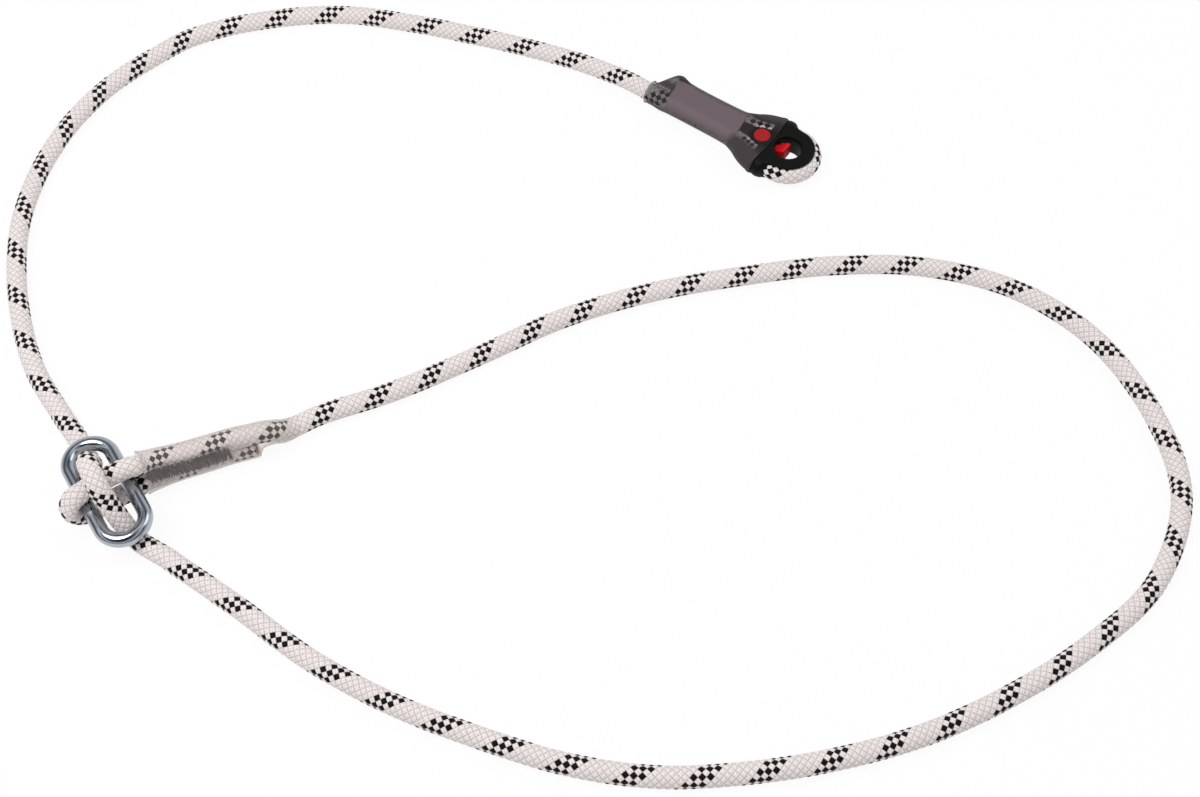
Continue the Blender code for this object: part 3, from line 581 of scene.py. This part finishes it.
# Thimble splice: how the grey shrink film hugs the two legs, and the label under it
film = {"wall": 0.0005, "proud": 0.0018, "bow": 0.0018, "beadStart": -0.0113,
        "colour": "#463F42", "roughness": 0.55, "shine": 0.08, "relief": 0.25, "rimHaze": 0.7,
        "haze": 0.31, "standOffHaze": 0.62, "neckHaze": 0.1}
label = {"wall": 0.00015, "from": -0.0768, "to": -0.0302, "slant": 0.11,
         "down": 60,  # degrees down the far leg's outer side
         "colour": "#D2B9C4", "roughness": 0.5}
thimble = {"skin": 0.0013, "over": 0.0012, "edge": 0.0008, "neckStart": -0.0156, "neckOpen": 0.0012,
           "neckReach": 0.0032, "noseTip": -0.0299, "noseEase": 0.0008,
           "grain": 0.00028, "rounds": 5,  # of the skin drawn over it, and how often that is smoothed
           "colour": "#0B0A09", "roughness": 0.5, "shine": 0.12}
grooveRadius = ropeRadius + bight["room"]
thimbleHalf = grooveRadius + thimble["skin"]
beadHalf = bightRadius + grooveRadius + film["proud"]
beadCore = beadHalf - thimbleHalf
filmRadius = ropeRadius + label["wall"] + 2 * touch + film["wall"]
neckHalf = thimbleHalf - film["wall"] - touch
tailRows = [  # past the rope's tail: place from its end, far centre in half spacings, extra radius
    (-0.0103, -0.98, 0.0004), (-0.0093, -0.98, 0), (-0.0078, -0.81, 0), (-0.006, -0.19, 0),
    (-0.0038, 0.59, 0.0001), (-0.0014, 1.19, 0.0003), (0.0012, 1.33, 0.0003), (0.0038, 1.22, 0.0001),
    (0.0075, 1.04, 0),
]
flareRows = [  # towards the eye: place, spread of the centres up to the bead, bow of the end
    (bight["legsJoin"], 0, 0), (-0.034, 0.05, 0), (-0.031, 0.16, 0), (-0.0275, 0.33, 0),
    (-0.0244, 0.53, 0), (-0.0213, 0.7, 0), (-0.0184, 0.82, 0.1), (-0.0155, 0.92, 0.4),
    (-0.0132, 1.01, 0.8), (film["beadStart"] - 0.0004, 0.95, 1),
]
sleeveRows = [(bight["tailEnd"] + at, -legOff, legOff * far, filmRadius + extra, 0)
              for at, far, extra in tailRows]
for at, spread, bow in flareRows:
    reach = legOff + (beadCore - legOff) * spread
    sleeveRows.append((at, -reach, reach, filmRadius + (thimbleHalf - filmRadius) * min(1, 2 * spread), bow))
sleeveRows = np.array(sleeveRows)


def bowed(across):
    return film["bow"] * np.maximum(0, 1 - (across / beadHalf) ** 2)


# A ring round two rope centres: half a circle at each, joined by straights
def trackRing(near, far, radius, steps=24, straight=16):
    half = np.linspace(-math.pi / 2, math.pi / 2, steps + 1)
    farArc = np.stack([far + radius * np.cos(half), radius * np.sin(half)], axis=1)
    nearArc = np.stack([near - radius * np.cos(half), -radius * np.sin(half)], axis=1)
    t = np.linspace(0, 1, straight + 1)[1:-1, None]
    return np.vstack([farArc, farArc[-1] + (nearArc[0] - farArc[-1]) * t,
                      nearArc, nearArc[-1] + (farArc[0] - nearArc[-1]) * t])


def filmRing(row, inset, narrow=0):
    ring = trackRing(row[1] + narrow, row[2] - narrow, row[3] - inset)
    return np.column_stack([row[0] + row[4] * bowed(ring[:, 0]), ring])


def filmRow(place):
    return np.array([place] + [np.interp(place, sleeveRows[:, 0], sleeveRows[:, k]) for k in range(1, 5)])


# See-through shrink film: a satin skin, its haze from part transparency and denser edge on
def filmMaterial(name, look):
    material, tree, skin = newMaterial(name, look)
    haze = addNode(tree, "Attribute", {"attribute_name": "haze"})
    facing = addNode(tree, "LayerWeight", {"Blend": 0.5})
    rim = addNode(tree, "Math", {"operation": "POWER", 1: 2.5}, {0: facing.outputs["Facing"]})
    alpha = addNode(tree, "Math", {"operation": "MULTIPLY_ADD", 1: look["rimHaze"], "use_clamp": True},
                    {0: rim, 2: haze.outputs["Fac"]})
    place = addNode(tree, "TexCoord")
    waves = addNode(tree, "TexNoise", {"Scale": 170, "Detail": 2}, {"Vector": place.outputs["Object"]})
    grit = addNode(tree, "MapRange", {"From Min": 0.3, "From Max": 0.7, "To Min": look["roughness"] - 0.06,
                                      "To Max": look["roughness"] + 0.08}, {"Value": waves})
    bump = addNode(tree, "Bump", {"Strength": look["relief"], "Distance": 0.0004}, {"Height": waves})
    connect(tree, skin, {"Alpha": alpha, "Roughness": grit, "Normal": bump})
    return material


def filmPiece(name, rings, material, hazes, place):  # one haze for all, or one per point of each ring
    piece = skinned(name, rings, [material], place, closed=True)
    hazes = np.broadcast_to(hazes, np.shape(rings)[:2]).ravel().astype(np.float32)
    piece.data.attributes.new("haze", "FLOAT", "POINT").data.foreach_set("value", hazes)
    return piece


def greyHaze(rings):  # clearest over the neck, where it is stretched; milky where it stands off the rope
    points = np.array(rings)
    x, across = points[..., 0], np.abs(points[..., 1])
    legs = bightLine()
    legs = legs[(legs[:, 1] > 0) & (legs[:, 0] < -0.008)]
    axis = np.interp(x, legs[:, 0], legs[:, 1])
    off = np.hypot(across - axis, points[..., 2]) - ropeRadius - touch - film["wall"]
    free = (across > axis) | (x < label["from"] - 0.001)
    haze = film["haze"] + film["standOffHaze"] * fadeIn(off, 0.0006, 0.0012) * free
    overNeck = fadeIn(x, -0.025, 0.0025) * fadeIn(-across, -0.0082, 0.0016)
    return haze + (film["neckHaze"] - haze) * overNeck


bowScale = (1, 1, 1, 1, film["bow"])  # the bow as a length too, so that it doesn't rule the spacing
fineRows = throughPoints(sleeveRows * bowScale, 5) / bowScale
greyRings = [filmRing(row, 0) for row in fineRows] + [filmRing(row, film["wall"]) for row in fineRows[::-1]]
greyFilm = filmMaterial("shrink_film_grey", film)
greySleeve = filmPiece("grey_sleeve", greyRings, greyFilm, greyHaze(greyRings), thimbleFrame)
wholePiece(greySleeve, "thimble_sleeve")

# Label film, bare: matt grey-mauve plastic
labelFilm = newMaterial("label_film", label)[0]
nearLeg = bightLine()[::-1]
nearLeg = nearLeg[(nearLeg[:, 1] < 0) & (nearLeg[:, 0] < 0)]


def labelRing(place):
    near = -np.interp(place + 0.0009, nearLeg[:, 0], nearLeg[:, 1])
    nearTurn, farTurn = np.radians(np.linspace(0, 90, 13)), np.radians(np.linspace(label["down"], 0, 9))
    lines = []
    for radius in (ropeRadius + touch, ropeRadius + touch + label["wall"]):
        farSide = np.stack([near + radius * np.sin(farTurn), radius * np.cos(farTurn)], axis=1)
        top = np.stack([np.linspace(near, -near, 10)[1:-1], np.full(8, radius)], axis=1)
        nearSide = np.stack([-near - radius * np.sin(nearTurn), radius * np.cos(nearTurn)], axis=1)
        lines.append(np.vstack([farSide, top, nearSide]))
    ring = np.vstack([lines[0], lines[1][::-1]])[::-1]
    return np.column_stack([place - label["slant"] * (ring[:, 0] + 0.005), ring])


labelRings = [labelRing(x) for x in np.linspace(label["from"], label["to"], 60)]
wholePiece(skinned("label", labelRings, [labelFilm], thimbleFrame), "thimble_label")

# Polyester seam thread, dull grey: strokes to and fro across the valley between the legs
thread = {"radius": 0.00032, "jitter": 0.6, "shortest": 0.8,
          "colour": "#23222B", "roughness": 0.6, "sheen": 0.2}
thimbleSeam = {"from": -0.074, "to": -0.044, "pitch": 0.0009, "reach": 0.002, "height": 0.00485,
               "lift": 0.00005}
adjusterSeam = {"from": 0.0214, "to": 0.0624, "pitch": 0.00056, "reach": 0.005, "height": 0.0049,
                "lift": 0.0001}
seamThread = newMaterial("polyester_seam_thread", thread)[0]


def tubeRings(line, radius, sides, upward=(0, 0, 1)):
    heading = unit(np.gradient(line, axis=0))
    side = unit(np.cross(upward, heading))
    other = np.cross(heading, side)
    turn = np.linspace(0, 2 * math.pi, sides, endpoint=False)[:, None]
    return line[:, None] + radius * (side[:, None] * np.cos(turn) + other[:, None] * np.sin(turn))


def seamPiece(name, seam, spot, face, place, seed):
    chance = np.random.default_rng(seed)
    path = []
    for k in range(int((seam["to"] - seam["from"]) / seam["pitch"])):
        at = seam["from"] + seam["pitch"] * (k + chance.uniform(-thread["jitter"], thread["jitter"]))
        share = (1 if k % 2 else -1) * chance.uniform(thread["shortest"], 1)
        path.append(spot(at, share, chance.uniform(-1, 1)))
    return skinned(name, tubeRings(throughPoints(path, 5), thread["radius"], 8, face), [seamThread], place)


def thimbleSpot(sign):
    height, lift = thimbleSeam["height"], thimbleSeam["lift"]
    return lambda x, share, rise: np.array([x, thimbleSeam["reach"] * share, sign * (height + lift * rise)])


for name, node, sign, seed in (("thimble_needle_seam", "thimble_needle_thread", 1, 3),
                               ("thimble_bobbin_seam", "thimble_bobbin_thread", -1, 4)):
    piece = seamPiece(name, thimbleSeam, thimbleSpot(sign), (0, 0, 1), thimbleFrame, seed)
    wholePiece(piece, node)

# The adjuster's clear sleeve and seam follow the two legs' own lines
clear = {"first": 21, "wall": 0.0005, "tail": 0.073, "tailFade": 0.01, "rounds": 4,
         "colour": "#CFC3C0", "roughness": 0.5, "shine": 0.12, "relief": 0.2, "rimHaze": 0.7, "haze": 0.075}
upperPlaces, lowerPlaces = zip(*splicePairs, *spliceMerge)
farUpper = throughPoints([climb[1], climb[0], *upperPlaces, *spliceSingle])[:-12]
farLower = throughPoints([*lowerStart[2:], *lowerPlaces, *spliceSingle])[:-12]
steps = np.arange(clear["first"], len(farUpper))
lowerSteps = steps + np.round(np.maximum(0, 4 - (steps - clear["first"]) / 3)).astype(int)
upperLeg, upperRun = farUpper[steps], unit(np.gradient(farUpper, axis=0))[steps]
lowerLeg, lowerRun = farLower[lowerSteps], unit(np.gradient(farLower, axis=0))[lowerSteps]
for again in range(clear["rounds"]):
    lowerLeg[1:-1] = (lowerLeg[:-2] + 2 * lowerLeg[1:-1] + lowerLeg[2:]) / 4
beforeTail = fadeIn(-upperLeg[:, 1:2], -clear["tail"], clear["tailFade"])
runs = unit(upperRun + beforeTail * lowerRun)
runs[:9] = runs[9]  # its mouth is cut straight
spans = np.zeros_like(runs)
for i, (a, b, run) in enumerate(zip(upperLeg, lowerLeg, runs)):
    pair = a - b
    spans[i] = unit(pair - run * (pair @ run)) if np.linalg.norm(pair) > 0.0008 else spans[i - 1]


def clearRing(i, radius):
    away = np.cross(spans[i], runs[i])
    radius += touch * max(0, 3 - i / 6)  # the mouth stands open a little
    turn = np.linspace(-math.pi / 2, math.pi / 2, 21)[:, None]
    ring = []
    for centre, run, sign in ((lowerLeg[i], lowerRun[i], 1), (upperLeg[i], upperRun[i], -1)):
        stretch = radius * (1 + beforeTail[i, 0] * (1 / max(0.8, abs(run @ runs[i])) - 1))
        outwards, sideways = sign * stretch * np.cos(turn), sign * radius * np.sin(turn)
        ring.append(centre - spans[i] * outwards + away * sideways)
    return np.vstack(ring)


clearRings = [clearRing(i, ropeRadius + touch + clear["wall"]) for i in range(len(runs))]
clearRings += [clearRing(i, ropeRadius + touch) for i in range(len(runs))[::-1]]
clearFilm = filmMaterial("shrink_film_clear", clear)
clearSleeve = filmPiece("clear_sleeve", clearRings, clearFilm, clear["haze"], spliceFrame)
wholePiece(clearSleeve, "adjuster_sleeve")


def spliceSpot(sign):
    legHeading = np.array([0.07, 1, -0.03])

    def spot(y, share, rise):
        upper, lower = (np.array([np.interp(y, leg[:, 1], leg[:, k]) for k in range(3)])
                        for leg in (farUpper, farLower))
        span = unit(upper - lower)
        away = unit(np.cross(legHeading, span))
        away = away if away[0] > 0 else -away
        height = adjusterSeam["height"] + adjusterSeam["lift"] * rise
        return (upper + lower) / 2 + span * adjusterSeam["reach"] * share + away * sign * height
    return spot


for name, node, sign, seed in (("adjuster_needle_seam", "adjuster_needle_thread", 1, 5),
                               ("adjuster_bobbin_seam", "adjuster_bobbin_thread", -1, 6)):
    piece = seamPiece(name, adjusterSeam, spliceSpot(sign), (1, 0, 0), spliceFrame, seed)
    wholePiece(piece, node)
print("films, label and seams made")

# Thimble: one black moulding, its edges softened. Its ear from the film's end round to the cheek
earProfile = ((0, 0.002), (0.0005, 0.0005), (0.0016, 0), (0.0036, 0), (0.005, 0.0005), (0.0063, 0.0019),
              (0.0078, 0.0035), (0.0097, 0.005), (0.0119, 0.0059))
ear = throughPoints([(film["beadStart"] + ahead, beadHalf - inward) for ahead, inward in earProfile], 4)
cheekTurn = np.radians(np.arange(78, -1, -3))
cheekRadius = bightRadius + thimble["over"]
halfOutline = np.vstack([ear, cheekRadius * np.stack([np.cos(cheekTurn), np.sin(cheekTurn)], axis=1)])
rim = np.vstack([halfOutline, halfOutline[-2::-1] * (1, -1)])
endAcross = np.linspace(-0.0178, 0.0178, 19)
outline = np.vstack([rim, np.stack([film["beadStart"] + bowed(endAcross), endAcross], axis=1)])
order = np.minimum(np.arange(len(outline)), len(rim) - 1 - np.arange(len(outline)))


def bodyRing(height):
    over = max(0, abs(height) - (thimbleHalf - thimble["edge"]))
    inset = thimble["edge"] - math.sqrt(max(0, thimble["edge"] ** 2 - over ** 2))
    bulge = math.sqrt(max(0, 1 - (height / thimbleHalf) ** 2))
    run = unit(np.roll(outline, -1, axis=0) - np.roll(outline, 1, axis=0))
    ring = outline + inset * np.stack([run[:, 1], -run[:, 0]], axis=1)
    ends = order <= 0
    ring[ends] = outline[ends]
    outer = np.abs(ring[:, 1]) > beadCore
    ring[outer, 1] = np.sign(ring[outer, 1]) * (beadCore + (np.abs(ring[outer, 1]) - beadCore) * bulge)
    endX = film["beadStart"] + bowed(ring[:, 1]) + inset
    ring[:, 0] = np.where(ends, endX, np.maximum(ring[:, 0], endX + 0.00004 * np.maximum(0, order)))
    return np.column_stack([ring, np.full(len(ring), height)])


def tool(name, rings):
    cutter = skinned(name, rings, [], thimbleFrame)
    cutter.hide_render = True
    return cutter


def carve(piece, cutter, operation="DIFFERENCE"):
    withModifier(piece, "BOOLEAN", operation=operation, solver="MANIFOLD", object=cutter)


def soften(piece, grain, rounds):  # one skin over the joined shapes, its edges rounded
    withModifier(piece, "REMESH", mode="VOXEL", voxel_size=grain)
    withModifier(piece, "SMOOTH", factor=0.5, iterations=rounds)
    return settle(piece)


def discRing(at, radius, height, sides=64):
    turn = np.linspace(0, 2 * math.pi, sides, endpoint=False)
    x, y = at[0] + radius * np.cos(turn), at[1] + radius * np.sin(turn)
    return np.stack([x, y, np.full(sides, height)], axis=1)


def boxRings(low, high):
    return [[(x, high[1], low[2]), (x, high[1], high[2]), (x, low[1], high[2]), (x, low[1], low[2])]
            for x in (low[0], high[0])]


blackMoulding = newMaterial("black_polyamide_moulding", thimble)[0]  # hard plastic, a low even shine
heights = thimbleHalf * np.sin(np.radians(np.linspace(-90, 90, 25)))
body = skinned("thimble_body", [bodyRing(z)[::-1] for z in heights], [blackMoulding], thimbleFrame)
neckRows = [filmRow(x) for x in np.linspace(thimble["neckStart"], film["beadStart"] - 0.0003, 8)]
neckRings = [filmRing(row, film["wall"] + touch, thimble["neckOpen"]) for row in neckRows]
neckRings.append(neckRings[-1] + np.array([thimble["neckReach"], 0, 0]))
carve(body, tool("neck", neckRings), "UNION")
noseRows = throughPoints([(thimble["noseTip"], 0.0034), (thimble["noseTip"] + 0.0008, 0.0038),
                          (-0.024, 0.004), (-0.022, 0.0048), (-0.02, 0.0059), (-0.0173, 0.0066),
                          (-0.013, 0.0072)], 4)
noseHalf, ease = neckHalf - touch / 2, thimble["noseEase"]
noseCorners = ((1, -1, 1), (1, -1, 0), (1, 1, 0), (1, 1, 1),
               (-1, 1, 1), (-1, 1, 0), (-1, -1, 0), (-1, -1, 1))
noseRings = [[(x, ySign * (half - (ease if level else 0)), zSign * (noseHalf - (0 if level else ease)))
              for ySign, zSign, level in noseCorners] for x, half in noseRows]
carve(body, tool("nose", noseRings), "UNION")
groovePath = bightLine()[::-1]
groovePath[0, 0] = groovePath[-1, 0] = bight["legsJoin"] - 0.004
carve(body, tool("groove", tubeRings(groovePath, grooveRadius, 48)))
eyeLevels = ((-1.2, 1), (-1, 1), (-0.97, 0.6), (-0.9, 0.3), (-0.8, 0.1), (-0.7, 0),
             (0.7, 0), (0.8, 0.1), (0.9, 0.3), (0.97, 0.6), (1, 1), (1.2, 1))
carve(body, tool("eye", [discRing((0, 0), bight["eye"] + thimble["edge"] * wide, z * thimbleHalf)
                         for z, wide in eyeLevels]))

# Keeper: a soft red button with a stem, a tongue and a lug that stands in the eye
keeper = {"head": 0.0048, "headThick": 0.0015, "stem": 0.0021, "at": (-0.0173, 0.0003), "slotLow": -0.0018,
          "slotHigh": 0.0028, "lugHalf": 0.0039, "lugFront": -0.0002, "lugTop": 0.0063,
          "grain": 0.00016, "rounds": 4, "colour": "#CE0F1A", "roughness": 0.5, "shine": 0.2}
seat = neckHalf - keeper["headThick"]
headHole, stemHole = keeper["head"] + touch, keeper["stem"] + touch
headRoom = [discRing(keeper["at"], headHole, z) for z in (seat - touch, neckHalf + 0.001)]
carve(body, tool("headHole", headRoom))
carve(body, tool("stemHole", [discRing(keeper["at"], stemHole, z) for z in (0, seat)]))
slotStart = keeper["at"][0] - keeper["stem"] / 2
slot = boxRings((slotStart - touch, -stemHole, keeper["slotLow"]), (-0.006, stemHole, keeper["slotHigh"]))
carve(body, tool("slot", slot))
wholePiece(soften(body, thimble["grain"], thimble["rounds"]), "thimble")

redRubber = newMaterial("red_rubber", keeper)[0]  # soft rubber, a satin skin
headRings = ((0, seat), (0, neckHalf - 0.0005), (0.0003, neckHalf - 0.0001), (0.0009, neckHalf))
dome = [discRing(keeper["at"], keeper["head"] - inward, z) for inward, z in headRings]
keeperPiece = skinned("keeper_moulding", dome, [redRubber], thimbleFrame)
stemRings = [discRing(keeper["at"], keeper["stem"], z) for z in (0.0005, seat + 0.0004)]
carve(keeperPiece, tool("stem", stemRings), "UNION")
tongue = boxRings((slotStart, -keeper["stem"], keeper["slotLow"] + touch),
                  (-0.0055, keeper["stem"], keeper["slotHigh"] - touch))
carve(keeperPiece, tool("tongue", tongue), "UNION")
front, top = keeper["lugFront"], keeper["lugTop"]
lugSide = np.array([(-0.0062, -0.0019), (front, -0.0019), (front, top - 0.0008),
                    (front - 0.0005, top - 0.0001), (front - 0.0013, top), (-0.0062, 0.003)])
lugMiddle = np.array([-0.0032, 0.0018])
lugRings = []
for y, share in ((-1, 0.84), (-0.93, 0.95), (-0.8, 1), (0.8, 1), (0.93, 0.95), (1, 0.84)):
    side = lugMiddle + (lugSide - lugMiddle) * share
    lugRings.append(np.column_stack([side[:, 0], np.full(len(side), y * keeper["lugHalf"]), side[:, 1]]))
carve(keeperPiece, tool("lug", lugRings), "UNION")
wholePiece(soften(keeperPiece, keeper["grain"], keeper["rounds"]), "keeper")
print("thimble and keeper made")

# Zinc-plated forged steel: bright, slightly blue, with a soft brushed break in its reflections
linkLook = {"weldAt": (0.0085, -0.0112), "weldRise": 0.00012, "weldHalf": 0.0011,
            "colour": "#B2B7BD", "metallic": 1, "roughness": 0.15, "unevenness": 0.05,
            "sides": 48, "rings": 300}


def zincMaterial():
    material, tree, skin = newMaterial("zinc_plated_steel", linkLook)
    grain = addNode(tree, "TexNoise", {"Scale": 700, "Detail": 4})
    low, high = (linkLook["roughness"] + sign * linkLook["unevenness"] for sign in (-1, 1))
    rough = addNode(tree, "MapRange", {"From Min": 0.3, "From Max": 0.7, "To Min": low, "To Max": high},
                    {"Value": grain})
    bump = addNode(tree, "Bump", {"Strength": 0.05, "Distance": 0.0001}, {"Height": grain})
    connect(tree, skin, {"Roughness": rough, "Normal": bump})
    return material


def linkCentres(count):
    turn = np.radians(np.linspace(-90, 90, 41))
    x, y = link["half"] + link["arc"] * np.cos(turn), link["arc"] * np.sin(turn)
    right = np.stack([x, y, 0 * turn], axis=1)
    ring = np.vstack([right, right * (-1, -1, 1), right[:1]])
    return evenLine(ring, runOf(ring)[-1] / count)[:-1]


ringLine = linkCentres(linkLook["rings"])
ringHeading = unit(np.roll(ringLine, -1, axis=0) - np.roll(ringLine, 1, axis=0))
ringSide = np.cross((0, 0, 1), ringHeading)
barAngles = np.linspace(0, 2 * math.pi, linkLook["sides"], endpoint=False)
fromWeld = np.linalg.norm(ringLine[:, :2] - linkLook["weldAt"], axis=1) / linkLook["weldHalf"]
barRadii = (barRadius + linkLook["weldRise"] * np.exp(-fromWeld ** 2))[:, None, None]
barRings = (ringLine[:, None] + barRadii * (ringSide[:, None] * np.cos(barAngles)[:, None]
            + np.array([0, 0, 1]) * np.sin(barAngles)[:, None]))
linkPiece = skinned("adjuster_link", barRings, [zincMaterial()], linkFrame, closed=True)
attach(linkPiece, "link")
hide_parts("steel_link")
print("link made")

# Floor, backdrop and light
studio = {"floor": "#F4F4F4", "whiteShare": 0.93, "world": (0.54, 0.54, 0.54, 1), "key": 10, "fill": 3.4,
          "cameraSide": (-0.15, -0.45, 0.88),  # bright metal sees it dark round the camera, then lit panels
          "panels": [(0, "#E6E8EC"), (0.25, "#A9AEB8"), (0.42, "#3B3E46"), (0.55, "#70757F"),
                     (0.68, "#F2F4F8"), (0.8, "#9297A1"), (0.9, "#2A2C33"), (1, "#22242A")]}


# Painted floor: matt white, lifted to paper white where it is seen, its shadows kept
def floorMaterial():
    material, tree, skin = newMaterial("painted_floor", {"colour": studio["floor"], "roughness": 0.9})
    rays = addNode(tree, "LightPath").outputs
    seen = addNode(tree, "Math", {"operation": "MAXIMUM"},
                   {0: rays["Is Camera Ray"], 1: rays["Is Glossy Ray"]})
    seenAll = addNode(tree, "Math", {"operation": "MAXIMUM"}, {0: seen, 1: rays["Is Transmission Ray"]})
    share = addNode(tree, "Math", {"operation": "MULTIPLY", 1: studio["whiteShare"]}, {0: seenAll})
    white = addNode(tree, "Emission", {"Color": (1, 1, 1, 1), "Strength": 1})
    mix = addNode(tree, "MixShader", {}, {0: share, 1: skin, 2: white})
    connect(tree, tree.nodes["Material Output"], {"Surface": mix})
    return material


floorCorners = [(-6, -6, 0), (6, -6, 0), (6, 6, 0), (-6, 6, 0)]
floor = newPiece("floor", floorCorners, [(0, 1, 2, 3)], [floorMaterial()], smooth=False)

world = bpy.data.worlds.new("studio")
bpy.context.scene.world = world
world.use_nodes = True
worldTree = world.node_tree
worldPath = addNode(worldTree, "LightPath")
direction = addNode(worldTree, "TexCoord")
towardCamera = addNode(worldTree, "VectorMath", {"operation": "DOT_PRODUCT", 1: studio["cameraSide"]},
                       {0: direction})
panels = addNode(worldTree, "ValToRGB", {"stops": studio["panels"]}, {"Fac": towardCamera.outputs["Value"]})
worldColour = addNode(worldTree, "Mix", {"data_type": "RGBA", 6: studio["world"]},  # 6 and 7: its colours
                      {0: worldPath.outputs["Is Glossy Ray"], 7: panels})
connect(worldTree, worldTree.nodes["Background"], {"Color": worldColour.outputs[2]})


def areaLamp(name, place, target, size, power):
    lamp = bpy.data.objects.new(name, bpy.data.lights.new(name, "AREA"))
    lamp.data.shape = "DISK"
    lamp.data.size = size
    lamp.data.energy = power
    bpy.context.scene.collection.objects.link(lamp)
    lamp.location = place
    away = np.array(target) - np.array(place)
    lamp.rotation_euler = Vector(away).to_track_quat("-Z", "Y").to_euler()


areaLamp("key_lamp", (-0.7, -0.3, 1.3), (-0.12, -0.1, 0), 0.8, studio["key"])
areaLamp("fill_lamp", (0.7, 0.3, 1.1), (-0.12, -0.1, 0), 0.9, studio["fill"])

bpy.context.scene.view_settings.view_transform = "Standard"
